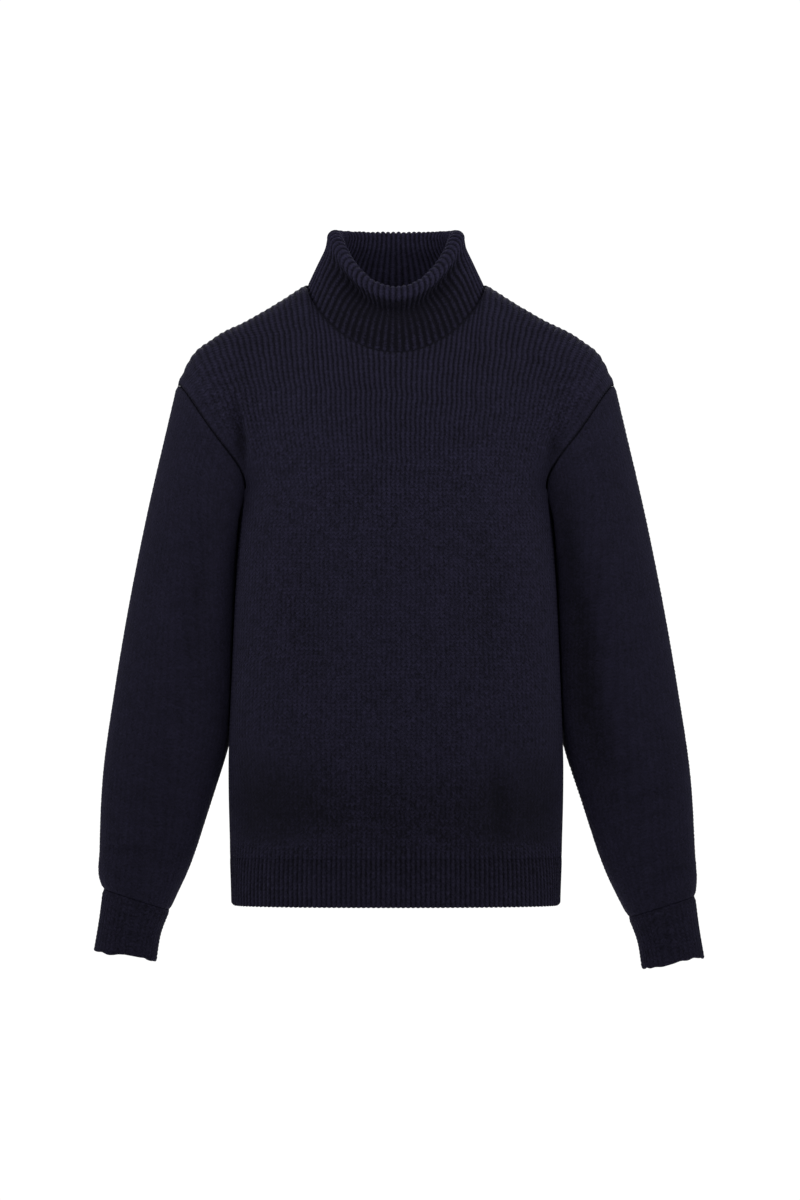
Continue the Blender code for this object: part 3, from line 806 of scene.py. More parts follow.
def rolled(distance):
    """How far the surface sinks towards a free edge, round a quarter circle."""
    left = np.clip(1 - distance / ROLL_WIDTH, 0, 1)
    return ROLL_IN * (1 - np.sqrt(1 - left**2))


def sewn(distance):
    """The dip beside a seam, where the edge is drawn in."""
    return SEAM_DIP * bell(distance, SEAM_WIDTH)


def distance_to(points, line):
    """Distance from each point to the nearest point of a densely sampled line."""
    flat = points.reshape(-1, 3)
    best = np.full(len(flat), np.inf)
    for spot in line:
        best = np.minimum(best, ((flat - spot) ** 2).sum(axis=1))
    return np.sqrt(best).reshape(points.shape[:-1])


print("a seam dips", SEAM_DIP, "mm, and", round(float(sewn(4.0)), 2), "mm at 4 mm from it")

# %% [markdown]
# ## From a grid to a wall of cloth
#
# Each piece is a closed wall: a ribbed outside, a plain inside 2.4 mm behind it, and a rim between them.
# A grid primitive with a Solidify modifier would give the inside as many faces as the outside, so the
# wall is built here by hand, with a coarser inside. The UV map counts ribs across and courses along.

# %% Normals, faces and edges of a grid
def grid_normals(form, live, wraps):
    """Unit normals at the grid's points, averaged over the cells that there are."""
    beside = np.roll(form, -1, axis=1) if wraps else form[:, 1:]
    here = form if wraps else form[:, :-1]
    facing = unit(np.cross(beside[1:] - here[:-1], here[1:] - beside[:-1])) * live[..., None]
    total = np.zeros_like(form)
    width = facing.shape[1]
    total[:-1, :width] += facing
    total[1:, :width] += facing
    after = np.roll(facing, 1, axis=1) if wraps else facing
    first = 0 if wraps else 1
    total[:-1, first:] += after
    total[1:, first:] += after
    return unit(total)


def numbered_faces(corners, shape, first):
    """Which grid points the faces use, the number of each from the first one on, and the faces."""
    used = np.zeros(shape, bool)
    for row, column in corners:
        used[row, column % shape[1]] = True
    number = np.full(shape, -1)
    number[used] = first + np.arange(used.sum())
    return used, number, np.stack([number[row, column % shape[1]] for row, column in corners], axis=1)


def rim_chains(quads):
    """For each outer point on an edge of the grid, the next one round that edge."""
    start = quads.ravel()
    end = np.roll(quads, -1, axis=1).ravel()
    count = quads.max() + 1
    lonely = ~np.isin(end * count + start, start * count + end)
    return dict(zip(start[lonely].tolist(), end[lonely].tolist()))


def rim_triangles(quads, partner):
    """Fans that join the fine outer edge to the coarse inner one, where partner gives the point behind."""
    after = rim_chains(quads)
    triangles = []
    for here in [start for start in after if start in partner]:
        chain = [here, after[here]]
        while chain[-1] not in partner:
            chain.append(after[chain[-1]])
        half = len(chain) // 2
        near, far = partner[chain[0]], partner[chain[-1]]
        for step in range(len(chain) - 1):
            triangles.append((chain[step + 1], chain[step], near if step < half else far))
        triangles.append((chain[half], near, far))
    return np.array(triangles)


level = np.stack([*np.meshgrid(np.arange(3.0), np.arange(3.0)), np.zeros((3, 3))], axis=-1)
print("normal of a level grid:", grid_normals(level, np.ones((2, 2), bool), False)[1, 1])


# %% A mesh from numbers
def add_mesh(name, points, face_groups, uv_groups, marks):
    mesh = bpy.data.meshes.new(name)
    corners = np.concatenate([group.ravel() for group in face_groups])
    sizes = np.concatenate([np.full(len(group), group.shape[1]) for group in face_groups])
    starts = np.concatenate([[0], np.cumsum(sizes)[:-1]])
    mesh.vertices.add(len(points))
    mesh.vertices.foreach_set("co", points.astype(np.float32).ravel())
    mesh.loops.add(len(corners))
    mesh.loops.foreach_set("vertex_index", corners.astype(np.int32))
    mesh.polygons.add(len(sizes))
    mesh.polygons.foreach_set("loop_start", starts.astype(np.int32))
    mesh.update(calc_edges=True)
    layer = mesh.uv_layers.new(name="knit")
    flat = np.concatenate([group.reshape(-1, 2) for group in uv_groups])
    layer.uv.foreach_set("vector", flat.astype(np.float32).ravel())
    for key, values in marks.items():
        mark = mesh.attributes.new(key, "FLOAT", "POINT")
        mark.data.foreach_set("value", values.astype(np.float32))
    mesh.validate()
    mesh.shade_smooth()
    piece = bpy.data.objects.new(name, mesh)
    bpy.context.scene.collection.objects.link(piece)
    print(f"{name}: {int((sizes - 2).sum())} triangles")
    return piece


# %% Wall of cloth
WALL = 2.4
MARKS = ("rib_show", "painted_shade")


def every(count, step, *always):
    """Every so many of a count of rows or columns, the last one and any that must be there."""
    return sorted(set(range(0, count, step)) | {count - 1} | set(always))


def cloth_wall(name, cloth, live, kept_rows, kept_columns, wraps):
    """A mesh object: outer grid, inner grid of the kept rows and columns, and rim.

    cloth holds the grids of form, normal, relief, uv, lean and marks. uv has one column more if it wraps.
    """
    form, uv = cloth["form"], cloth["uv"]
    shape = form.shape[:2]
    row, column = np.nonzero(live)
    corners = ((row, column), (row, column + 1), (row + 1, column + 1), (row + 1, column))
    used, number, quads = numbered_faces(corners, shape, 0)

    right = kept_columns[1:] + ([shape[1]] if wraps else [])
    spans = list(zip(kept_columns, right))
    cells = [(a, b, c, d) for a, b in zip(kept_rows, kept_rows[1:]) for c, d in spans if live[a, c]]
    a, b, c, d = np.array(cells).T
    inner_corners = ((a, c), (b, c), (b, d), (a, d))
    inner_used, inner_number, inner_quads = numbered_faces(inner_corners, shape, used.sum())

    outside = form + cloth["normal"] * cloth["relief"][..., None]
    inside = form - cloth["normal"] * WALL + cloth["lean"]
    points = np.concatenate([outside[used], inside[inner_used]]) * MM
    marks = {key: np.concatenate([cloth[key][used], cloth[key][inner_used]]) for key in MARKS}

    place = np.concatenate([np.argwhere(used), np.argwhere(inner_used)])
    partner = {int(number[r, c]): int(inner_number[r, c]) for r, c in np.argwhere(inner_used)}
    triangles = rim_triangles(quads, partner)
    spots = place[triangles]
    spot_u = spots[..., 1]
    if wraps:
        past_end = spot_u.max(axis=1, keepdims=True) - spot_u > shape[1] // 2
        spot_u = np.where(past_end, spot_u + shape[1], spot_u)
    face_uv = [np.stack([uv[corner] for corner in group], axis=1) for group in (corners, inner_corners)]
    faces = [quads, inner_quads, triangles]
    return add_mesh(name, points, faces, [*face_uv, uv[spots[..., 0], spot_u]], marks)


print("kept of eight rows, every third one:", every(8, 3))

# %% [markdown]
# ## Wool
#
# The yarn is a soft carded wool, dyed a navy so deep that it is nearly black. It has no gloss: light is
# caught by loose fibres, so the surface is rough with a faint sheen. The furrows between the ribs hold
# shadow, which is painted into the colour as well, and each stitch is a pair of legs in a V. A photo of
# knit wrapped round the form would carry its own light and stretch at the seams, so the stitches are drawn
# by nodes from the UV map, in real counts, and the fibres by noise on the object's own coordinates.

# %% Colour and node helpers
def colour(code):
    """An sRGB hex colour as linear values with alpha."""
    channels = [int(code[i : i + 2], 16) / 255 for i in (1, 3, 5)]
    return tuple(c / 12.92 if c <= 0.04045 else ((c + 0.055) / 1.055) ** 2.4 for c in channels) + (1.0,)


def add_node(tree, kind, settings=(), **links):
    """A node with its settings and its inputs: a socket is linked, any other value is set."""
    node = tree.nodes.new(kind)
    for name, value in dict(settings).items():
        setattr(node, name, value)
    for name, value in links.items():
        key = int(name[1:]) if name[0] == "i" and name[1:].isdigit() else name.replace("_", " ")
        if isinstance(value, bpy.types.NodeSocket):
            tree.links.new(value, node.inputs[key])
        else:
            node.inputs[key].default_value = value
    return node


print("navy crest, linear:", [round(value, 4) for value in colour("#201e2f")[:3]])

# %% What the knit is drawn from
# Noise: its name, its size in mm and its detail. A wool fibre is 0.02 mm thick, far too fine to show, so
# the fibres are drawn as wisps of 1.6 mm. Tufts are the ends that stand up, blotches the uneven dye.
YARN_NOISES = (("fibres", 1.6, 3.0), ("tufts", 2.8, 2.0), ("blotches", 26.0, 2.0))
NOISE_ROUGHNESS = 0.6

# Each step names its result, the operation, and its terms: numbers or the names of earlier results.
RIB_STEPS = (
    # The distance from a rib's crest, 0 to 0.5, and from it the height across the rib, 1 to 0.
    ("in_rib", "FRACT", "across"),
    ("from_middle", "SUBTRACT", "in_rib", 0.5),
    ("off_crest", "ABSOLUTE", "from_middle"),
    ("rib_angle", "MULTIPLY", "off_crest", 5.9),  # a little under one turn, so the furrow stays narrow
    ("rib_wave", "COSINE", "rib_angle"),
    ("crest", "MULTIPLY_ADD", "rib_wave", 0.5, 0.5),
    # The legs of the stitches climb away from the crest's middle line.
    ("slant", "MULTIPLY", "off_crest", 1.3),
    ("climb", "SUBTRACT", "along", "slant"),
    ("leg_angle", "MULTIPLY", "climb", math.pi),
    ("leg_wave", "SINE", "leg_angle"),
    ("leg", "ABSOLUTE", "leg_wave"),
    ("rib_number", "FLOOR", "across"),
    ("stitch_number", "FLOOR", "climb"),
)
STITCH_STEPS = (
    # Each stitch has its own size. It shows more where the ribs fade, and faintly on the smooth sleeves.
    ("own_size", "MULTIPLY_ADD", "own", 0.8, 0.5),
    ("plain_gain", "MULTIPLY_ADD", "show", -0.75, 1.15),
    ("grain_rise", "MULTIPLY_ADD", "show", 3.4, -0.16),
    ("grain", "MINIMUM", "grain_rise", 1.1),
    ("sized_leg", "MULTIPLY", "leg", "own_size"),
    ("shown_leg", "MULTIPLY", "sized_leg", "plain_gain"),
    ("stitch", "MULTIPLY", "shown_leg", "grain"),
    # The yarn is looser where the ribs are pulled apart.
    ("looseness", "MULTIPLY_ADD", "show", -0.75, 1.1),
    ("loose", "MULTIPLY", "grain", "looseness"),
    ("rib_contrast", "MULTIPLY", "show", 0.68),
    ("stitch_contrast", "MULTIPLY", "loose", 0.24),
    ("tuft_contrast", "MULTIPLY", "loose", 1.9),
    # The height for the bump: ribs, stitches, fibres and tufts.
    ("shown_rib", "MULTIPLY", "crest", "show"),
    ("height", "MULTIPLY_ADD", "shown_rib", 0.35, "stitch"),
    ("height", "MULTIPLY_ADD", "fibres", 0.8, "height"),
    ("height", "MULTIPLY_ADD", "tufts", 1.2, "height"),
)
# What makes a spot lighter or darker than the yarn's middle tone: its mean, and how strongly it tells.
MIDDLE_TONE = 0.545
# The crest paints shade into the furrows, the last part paints shade into seams, folds and hollows, and the
# others are the yarn's own uneven tone.
TONE_PARTS = (
    ("crest", 0.62, "rib_contrast"),
    ("stitch", 0.45, 0.3),
    ("own", 0.5, "stitch_contrast"),
    ("fibres", 0.5, 1.3),
    ("tufts", 0.5, "tuft_contrast"),
    ("blotches", 0.5, 0.28),
    ("painted_shade", 0.0, -1.1),
)
LIGHTEST_TONE = 1.5
print("steps in the wool:", len(RIB_STEPS) + len(STITCH_STEPS) + 2 * len(TONE_PARTS))


# %% The knit as nodes
def knit_sockets(tree):
    """The results of all steps by their names, among them the knit's height and light."""
    sockets = {}
    uv = add_node(tree, "ShaderNodeUVMap", {"uv_map": "knit"}).outputs[0]
    sockets["across"], sockets["along"], _ = add_node(tree, "ShaderNodeSeparateXYZ", i0=uv).outputs
    for key, mark in (("show", "rib_show"), ("painted_shade", "painted_shade")):
        sockets[key] = add_node(tree, "ShaderNodeAttribute", {"attribute_name": mark}).outputs["Fac"]
    place = add_node(tree, "ShaderNodeTexCoord").outputs["Object"]
    for key, size, detail in YARN_NOISES:
        settings = {"Scale": 1 / (size * MM), "Detail": detail, "Roughness": NOISE_ROUGHNESS}
        sockets[key] = add_node(tree, "ShaderNodeTexNoise", i0=place, **settings).outputs[0]

    for steps in (RIB_STEPS, STITCH_STEPS):
        for key, operation, *terms in steps:
            values = {f"i{index}": sockets.get(term, term) for index, term in enumerate(terms)}
            sockets[key] = add_node(tree, "ShaderNodeMath", {"operation": operation}, **values).outputs[0]
        if steps is RIB_STEPS:
            cell = {"i0": sockets["rib_number"], "i1": sockets["stitch_number"]}
            cell = add_node(tree, "ShaderNodeCombineXYZ", **cell).outputs[0]
            flat = {"noise_dimensions": "2D"}
            sockets["own"] = add_node(tree, "ShaderNodeTexWhiteNoise", flat, i0=cell).outputs[0]

    light = MIDDLE_TONE
    for key, mean, strength in TONE_PARTS:
        strength = sockets.get(strength, strength)
        off_mean = add_node(tree, "ShaderNodeMath", {"operation": "SUBTRACT"}, i0=sockets[key], i1=mean)
        values = {"i0": off_mean.outputs[0], "i1": strength, "i2": light}
        light = add_node(tree, "ShaderNodeMath", {"operation": "MULTIPLY_ADD"}, **values).outputs[0]
    clamped = add_node(tree, "ShaderNodeClamp", Value=light, Min=0.0, Max=LIGHTEST_TONE)
    sockets["light"] = clamped.outputs[0]
    return sockets


print("noises in the knit:", [key for key, _, _ in YARN_NOISES])


# %% The wool material
def wool_knit(name, crest_code, furrow_shade_code, relief):
    """Carded wool rib: rough, no gloss, a faint sheen from loose fibres."""
    material = bpy.data.materials.new(name)
    material.use_nodes = True
    tree = material.node_tree
    tree.nodes.clear()
    knit = knit_sockets(tree)
    colours = {"i0": knit["light"], "i6": colour(furrow_shade_code), "i7": colour(crest_code)}
    tone = add_node(tree, "ShaderNodeMix", {"data_type": "RGBA", "clamp_factor": False}, **colours)
    bump = add_node(tree, "ShaderNodeBump", Height=knit["height"], Strength=1.0, Distance=relief * MM)
    shader = add_node(
        tree,
        "ShaderNodeBsdfPrincipled",
        Base_Color=tone.outputs[2],
        Roughness=0.95,
        Specular_IOR_Level=0.08,
        Sheen_Weight=0.12,
        Sheen_Roughness=0.55,
        Sheen_Tint=colour("#67658a"),
        Normal=bump.outputs[0],
    )
    add_node(tree, "ShaderNodeOutputMaterial", Surface=shader.outputs[0])
    return material


# The body: navy crests, dusty where light catches the fibres, and nearly black painted shade between them.
body_wool = wool_knit("carded_wool_rib_knit", "#201e2f", "#0a0910", 0.8)
# The bands: the same yarn, knitted closer, a little deeper, and darker painted shade between the ribs.
band_wool = wool_knit("carded_wool_close_rib", "#1f1d2d", "#08070e", 0.7)
# The collar: crests painted lighter, a painted highlight for the lit roll, against black painted shade.
collar_wool_painted_lighter = wool_knit("carded_wool_collar_rib_painted_lighter", "#242235", "#08070e", 0.7)
print("wools:", body_wool.name, band_wool.name, collar_wool_painted_lighter.name)

# %% [markdown]
# ## The nine pieces and their cut
#
# Each piece is knitted flat and then sewn. The table gives its slot, its wool, its flat size in metres as
# blocked, how it is held, and its flat area where that isn't a rectangle: the panels lose the armholes and
# the neck, and the sleeves taper. On a tube the width is its way round.

# %% Cut table
CUT = {
    "front_panel": ("body_knit", body_wool, (0.50, 0.70), "hung", 0.29),
    "back_panel": ("body_knit", body_wool, (0.50, 0.71), "hung", 0.31),
    "front_hem_rib": ("rib_knit", band_wool, (0.50, 0.053), "stretched", None),
    "back_hem_rib": ("rib_knit", band_wool, (0.50, 0.053), "stretched", None),
    "sleeve_left": ("body_knit", body_wool, (0.42, 0.58), "hung", 0.19),
    "sleeve_right": ("body_knit", body_wool, (0.42, 0.58), "hung", 0.19),
    "cuff_left": ("rib_knit", band_wool, (0.20, 0.07), "stretched", None),
    "cuff_right": ("rib_knit", band_wool, (0.20, 0.07), "stretched", None),
    "collar": ("rib_knit", collar_wool_painted_lighter, (0.50, 0.21), "folded", None),
}


def finish_piece(node, cloth, live, kept_rows, kept_columns, wraps=False):
    """Builds the piece that stands for a node, gives it its wool, hangs it on what it rides on and hides
    the solid.
    """
    slot, wool, flat, held, area = CUT[node]
    piece = cloth_wall(node + "_knit", cloth, live, kept_rows, kept_columns, wraps)
    piece.data.materials.append(wool)
    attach(piece, "root")
    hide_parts(node)


def turned_inside_out(cloth):
    """The same grids read from the other side, for a piece that faces backwards."""
    cloth = {key: grid[:, ::-1] for key, grid in cloth.items()}
    cloth["normal"] = -cloth["normal"]
    return cloth


flat_knit = sum(area or flat[0] * flat[1] for _, _, flat, _, area in CUT.values())
print("flat knit in all", round(flat_knit, 2), "m2")

# %% [markdown]
# ## Front and back
#
# The ribs are full on the yoke and above the hem band. Between them the worn knit is pulled wide, and the
# ribs fade into a fine grain. The relief dies out towards the neck and the armhole, where the stitches are
# caught in the seam, and the edge dips into it. Four columns to a rib keep a panel under 200,000
# triangles.

# %% How clearly the ribs show
FAINT = 0.3
# The yoke's lower edge, its rise, and how much higher it starts for each mm to the side.
YOKE_FADE = (-300.0, 190.0, 0.5)
# The height below which the ribs come back above the band, over what drop, and how strongly.
BAND_FADE = (-612.0, 28.0, 0.65)
# The ribs are still fainter on the hips: how much, from what x and z on, and over what width and drop.
HIPS_FADE = 0.55
HIPS_X, HIPS_WIDTH = 60.0, 70.0
HIPS_Z, HIPS_DROP = -460.0, 110.0
ARMHOLE_SHOW, ARMHOLE_SHOW_REACH = 0.45, 45.0


def panel_show(form, to_armhole):
    """1 where the ribs are full, towards 0 where they are pulled flat."""
    out, z = np.abs(form[..., 0]), form[..., 2]
    bottom, rise, slope = YOKE_FADE
    yoke = smooth_step((z - bottom - slope * out) / rise)
    top, drop, strength = BAND_FADE
    band = strength * smooth_step((top - z) / drop)
    hips = smooth_step((out - HIPS_X) / HIPS_WIDTH) * smooth_step((HIPS_Z - z) / HIPS_DROP)
    show = mix(FAINT * (1 - HIPS_FADE * hips), 1, np.maximum(yoke, band))
    return show * mix(ARMHOLE_SHOW, 1, smooth_step(to_armhole / ARMHOLE_SHOW_REACH))


print("beside an armhole the ribs show at", ARMHOLE_SHOW, "of their height")

# %% Distances to a panel's seams
SEAM_SAMPLES = {"armhole": 240, "neck": 300}
FAR_OFF = 1000.0


def panel_distances(form, side, corner):
    """Distance of each point to the armholes, the neck seam, the hem band and the shoulder seams."""
    hole = armhole(np.linspace(0, math.pi, SEAM_SAMPLES["armhole"]), side)
    neck = neck_point(np.linspace(-1, 1, SEAM_SAMPLES["neck"]) * NECK_HALF_WIDTH, side)
    below_armhole = (np.arange(len(form)) < corner)[:, None]
    return {
        "armhole": np.minimum(distance_to(form, hole), distance_to(form, hole * MIRROR)),
        "neck": distance_to(form, neck),
        "hem": form[..., 2] - PANEL_BOTTOM,
        "shoulder": np.abs(form[..., 1] - SHOULDER_SEAM_Y) + FAR_OFF * below_armhole,
    }


print("points that stand for a seam:", SEAM_SAMPLES)

# %% Relief of a panel
# The ribs start this far from the armhole and the neck seam.
RIB_START = 5.0
SEAM_DIP_SHARES = {"armhole": 0.45, "hem": 0.1, "shoulder": 0.4}
# Beside the armhole seam the knit stands up in a low ridge: its height, its distance and its width.
ARMHOLE_RIDGE = (0.9, 6.0, 3.0)
# The collar's seam pulls the knit down, less so at the shoulders: the depth, the width, the least share.
NECK_SINK = (2.6, 5.0, 0.35)
# The neck seam counts as low from this far below the shoulder's neck point on, over this drop.
LOW_NECK = (8.0, 20.0)
# Painted shade along a seam: how dark it is at the seam, and within what distance.
ARMHOLE_SEAM_SHADE = (0.6, 1.1)
NECK_SEAM_SHADE = (1.0, 2.4)


def panel_relief(form, turn, length, to, show, seed):
    """The panel's height over its form, and the shade painted along its seams."""
    relief = rib_relief(turn, length, PANEL_RIBS, seed, show)
    relief = relief * smooth_step(to["armhole"] / RIB_START) * smooth_step(to["neck"] / RIB_START)
    relief = relief - sum(share * sewn(to[seam]) for seam, share in SEAM_DIP_SHARES.items())
    height, away, width = ARMHOLE_RIDGE
    relief = relief + height * bell(to["armhole"] - away, width)
    low = smooth_step((-form[..., 2] - LOW_NECK[0]) / LOW_NECK[1])
    depth, width, least = NECK_SINK
    relief = relief - depth * mix(least, 1, low) * bell(to["neck"], width)
    # Painted shade along the armhole seam, and along the neck seam where it is low.
    at_armhole = ARMHOLE_SEAM_SHADE[0] * bell(to["armhole"], ARMHOLE_SEAM_SHADE[1])
    at_neck = NECK_SEAM_SHADE[0] * low * bell(to["neck"], NECK_SEAM_SHADE[1])
    return relief, np.maximum(at_armhole, at_neck)


print("a hem seam dips", round(SEAM_DIP * SEAM_DIP_SHARES["hem"], 2), "mm")

# %% Wandering ribs and folds of a panel
# The ribs wander less within this many mm of a seam and this many ribs of a side, and not at the shoulder.
STILL_EDGE, STILL_RIBS, STILL_SHOULDER = 20.0, 4, 12.0
FOLD_START = 7.0


def bent(form, normal, turn, length, to, seed):
    """The form with wandering ribs and folds, and the height of the folds."""
    folds = fold_height(form, normal, BODY_FOLDS) * smooth_step(to["armhole"] / FOLD_START)
    to_seam = np.minimum(np.minimum(to["armhole"], to["neck"]), to["hem"])
    free = smooth_step(to_seam / STILL_EDGE) * (to["shoulder"] > STILL_SHOULDER)
    free = free * smooth_step(turn / STILL_RIBS) * smooth_step((PANEL_RIBS - turn) / STILL_RIBS)
    form = form + (wander(form, length, seed) - form) * free[..., None]
    return form + normal * folds[..., None], folds


print("the ribs wander by up to", round(sum(size for _, size in WANDERS), 2), "mm")

# %% Make the front and the back
PANEL_PER_RIB = 4
PANEL_KEPT_EVERY = 4
PANEL_SPACING = 3.1
LOWER_LENGTH = 405.0
UPPER_LENGTH = 262.0
# One course of stitches. The real one is about 2.5 mm, too fine to show, so it is drawn coarser.
COURSE = 4.4
# Inside, both edges of a side seam lean the same way, so that no light falls straight through it.
SEAM_LEAN = 1.2


def add_panel(node, side, seed):
    lower_parts = rows_from_rim(LOWER_LENGTH, PANEL_SPACING)
    upper_parts = 1 - rows_from_rim(UPPER_LENGTH, PANEL_SPACING)[::-1]
    form, live = panel_form(side, lower_parts, upper_parts, PANEL_PER_RIB)
    rows, columns = form.shape[:2]
    edge = PANEL_PER_RIB * SCOOP_RIBS
    corner = len(lower_parts) - 1
    steps = np.linalg.norm(np.diff(form, axis=0), axis=-1)
    length = np.concatenate([np.zeros((1, columns)), np.cumsum(steps, axis=0)])
    length[corner + 1 :, :edge] = 0
    length[corner + 1 :, -edge:] = 0
    turn = np.arange(columns) / PANEL_PER_RIB + 0 * length
    normal = grid_normals(form, live, False)

    to = panel_distances(form, side, corner)
    show = panel_show(form, to["armhole"])
    relief, painted_shade = panel_relief(form, turn, length, to, show, seed)
    form, folds = bent(form, normal, turn, length, to, seed)
    # The edges of the front and the back are cut square to Y where they are sewn to each other.
    seam = np.zeros((rows, columns), bool)
    seam[: corner + 1, [0, -1]] = True
    seam[-1, edge:-edge] = np.abs(form[-1, edge:-edge, 0]) >= NECK_HALF_WIDTH
    normal[seam, 1] = 0
    relief[seam] = 0
    cloth = {
        "form": form,
        "normal": unit(normal),
        "relief": relief,
        "uv": np.stack([turn, length / COURSE], axis=-1),
        "lean": seam[..., None] * np.array([0.0, SEAM_LEAN, 0.0]),
        "rib_show": show,
        # Painted shade: along the seams, deeper in the folds' troughs and less on their ridges.
        "painted_shade": np.clip(painted_shade - FOLD_SHADE * folds, 0, 1),
    }
    if side == BACK:
        cloth, live = turned_inside_out(cloth), live[:, ::-1]
    kept_rows = every(rows, PANEL_KEPT_EVERY, corner)
    kept_columns = every(columns, 2 * PANEL_PER_RIB, edge, columns - 1 - edge)
    finish_piece(node, cloth, live, kept_rows, kept_columns)


for node, side, seed in (("front_panel", FRONT, 1), ("back_panel", BACK, 2)):
    add_panel(node, side, seed)

# %% [markdown]
# ## Hem band
#
# The band continues the ribs of the panels below a seam line. It could be the panel's last rows with
# deeper ribs, but a real band is knitted closer and its line shows, so it is a piece of its own: one in
# front and one behind, because the side seams run down to the edge. Its lower edge is a cast-on edge,
# rolled over softly, and each rib ends in its own small bump.

# %% Make the hem band
BAND_PER_RIB = 6
BAND_KEPT_EVERY = 3
HEM_SPACING = 4.0
HEM_SHOW = 0.75
HEM_SEAM_DIP = 0.2
# The corners of the edge turn up in a small arc. Each rib's crest hangs a little below its furrows.
HEM_CORNER = 5.5
RIB_END, RIB_END_REACH = 0.7, 5.0
# Above the rolled edge the band is painted a touch darker: how much, from where and over what.
ABOVE_EDGE_DARKENING, ABOVE_EDGE_FROM, ABOVE_EDGE_REACH = 0.09, 4.0, 9.0


def add_hem(node, side, seed):
    form, length = hem_form(side, BAND_PER_RIB, HEM_SPACING)
    rows, columns = form.shape[:2]
    live = np.ones((rows - 1, columns - 1), bool)
    length = length[:, None] + np.zeros(columns)
    turn = np.arange(columns) / BAND_PER_RIB + 0 * length
    normal = grid_normals(form, live, False)
    show = HEM_SHOW + 0 * length
    relief = rib_relief(turn, length, PANEL_RIBS, seed, show)
    relief = relief - rolled(length) - HEM_SEAM_DIP * sewn(HEM_BAND_HEIGHT - length)
    folds = fold_height(form, normal, BODY_FOLDS)
    form = form + normal * folds[..., None]
    crest = np.abs(np.sin(math.pi * turn))
    form[..., 2] -= RIB_END * (crest - 0.5) * bell(length, RIB_END_REACH)
    from_side = np.clip((form[..., 0].max() - np.abs(form[..., 0])) / HEM_CORNER, 0, 1)
    turned_up = HEM_CORNER * (1 - np.sqrt(1 - (1 - from_side) ** 2))
    form[..., 2] += turned_up * np.clip(1 - length / HEM_BAND_HEIGHT, 0, 1) ** 2
    # Its side edges are cut square to Y, and inside its edges lean over the seams to close them.
    normal[:, [0, -1], 1] = 0
    relief[:, [0, -1]] = 0
    lean = np.zeros(form.shape)
    lean[:, [0, -1], 1] = SEAM_LEAN
    lean[-1, :, 2] = SEAM_LEAN
    darkened_above_edge = ABOVE_EDGE_DARKENING * smooth_step((length - ABOVE_EDGE_FROM) / ABOVE_EDGE_REACH)
    cloth = {
        "form": form,
        "normal": unit(normal),
        "relief": relief,
        "uv": np.stack([turn, length / COURSE], axis=-1),
        "lean": lean,
        "rib_show": show,
        # Painted a touch darker above the rolled edge, and painted shade in the folds' troughs.
        "painted_shade": np.clip(darkened_above_edge - FOLD_SHADE * folds, 0, 1),
    }
    if side == BACK:
        cloth = turned_inside_out(cloth)
    finish_piece(node, cloth, live, every(rows, BAND_KEPT_EVERY), every(columns, BAND_PER_RIB))


for node, side, seed in (("front_hem_rib", FRONT, 3), ("back_hem_rib", BACK, 4)):
    add_hem(node, side, seed)

# %% [markdown]
# ## Sleeves
#
# The sleeves are knitted plainer, so their ribs hardly show, but a sleeve's outline shows every stitch as
# a small bump. So its rows are half a course apart and the crests rise and fall with them. The two
# sleeves hang a little differently, each with its own folds. Both are built for the same side, and the
# left one is then mirrored by its numbers, so that its faces still point outwards.

# %% A tube of cloth
FIRST_EVEN_ROW = 5
TUBE_KEPT_EVERY = 3


def course_count(length):
    """Courses along a tube, counted so that two rows of the grid make one course."""
    return (length - length[FIRST_EVEN_ROW]) / (2 * np.median(np.diff(length)))


def add_tube(node, form, length, turn, relief, show, painted_shade, folds, kept_every, on_left=False):
    """A tube of cloth. turn counts the ribs round it and has one column more than the form."""
    rows, columns = form.shape[:2]
    live = np.ones((rows - 1, columns), bool)
    normal = grid_normals(form, live, True)
    folds = fold_height(form, normal, folds)
    cloth = {
        "form": form + normal * folds[..., None],
        "normal": normal,
        "relief": relief,
        "lean": np.zeros(form.shape),
        "rib_show": show,
        # Painted shade, deeper in the folds' troughs and less on their ridges.
        "painted_shade": np.clip(painted_shade - FOLD_SHADE * folds, 0, 1),
    }
    uv = np.stack([turn, course_count(length)[:, None] + 0 * turn], axis=-1)
    if on_left:
        cloth = {key: np.roll(grid[:, ::-1], 1, axis=1) for key, grid in cloth.items()}
        cloth["form"] = cloth["form"] * MIRROR
        cloth["normal"] = cloth["normal"] * MIRROR
        uv = uv[:, ::-1] * np.array([-1.0, 1.0])
    cloth["uv"] = uv
    kept_columns = list(range(0, columns, kept_every))
    finish_piece(node, cloth, live, every(rows, TUBE_KEPT_EVERY), kept_columns, wraps=True)


print("inside, a tube keeps one row in", TUBE_KEPT_EVERY)

# %% Stitches that stand out along the outline
STITCH_SWELL = 0.42
STITCH_PHASE = 2.6
STITCH_SIZES = (0.5, 1.2)
STITCHES_DRAWN = 200
STITCH_SEED = YARN_SEED + 50


def stitch_swell(turn, length, size, seed):
    """Each stitch stands out a little from the next one along its rib."""
    draw = np.random.default_rng(STITCH_SEED + seed)
    phase = draw.uniform(-STITCH_PHASE, STITCH_PHASE, STITCHES_DRAWN)
    own = draw.uniform(*STITCH_SIZES, (len(length), STITCHES_DRAWN))
    rib = np.floor(turn).astype(int) % STITCHES_DRAWN
    course = course_count(length)[:, None]
    rows = np.arange(len(length))[:, None] // 2
    return size * own[rows, rib] * np.cos(2 * math.pi * course + phase[rib])


print("a stitch stands out by up to", round(STITCH_SWELL * STITCH_SIZES[1], 2), "mm")

# %% Make the sleeves
SLEEVE_RIBS = {"armhole": 76, "cuff": 46}
SLEEVE_ROUND = 288
SLEEVE_KEPT_EVERY = 6
SLEEVE_SHOW = 0.15
# The relief of its ribs is fainter still, this share of what the wool draws.
SLEEVE_RELIEF = 0.4
SLEEVE_SEAM_DIPS = {"armhole": 0.35, "cuff": 0.12}


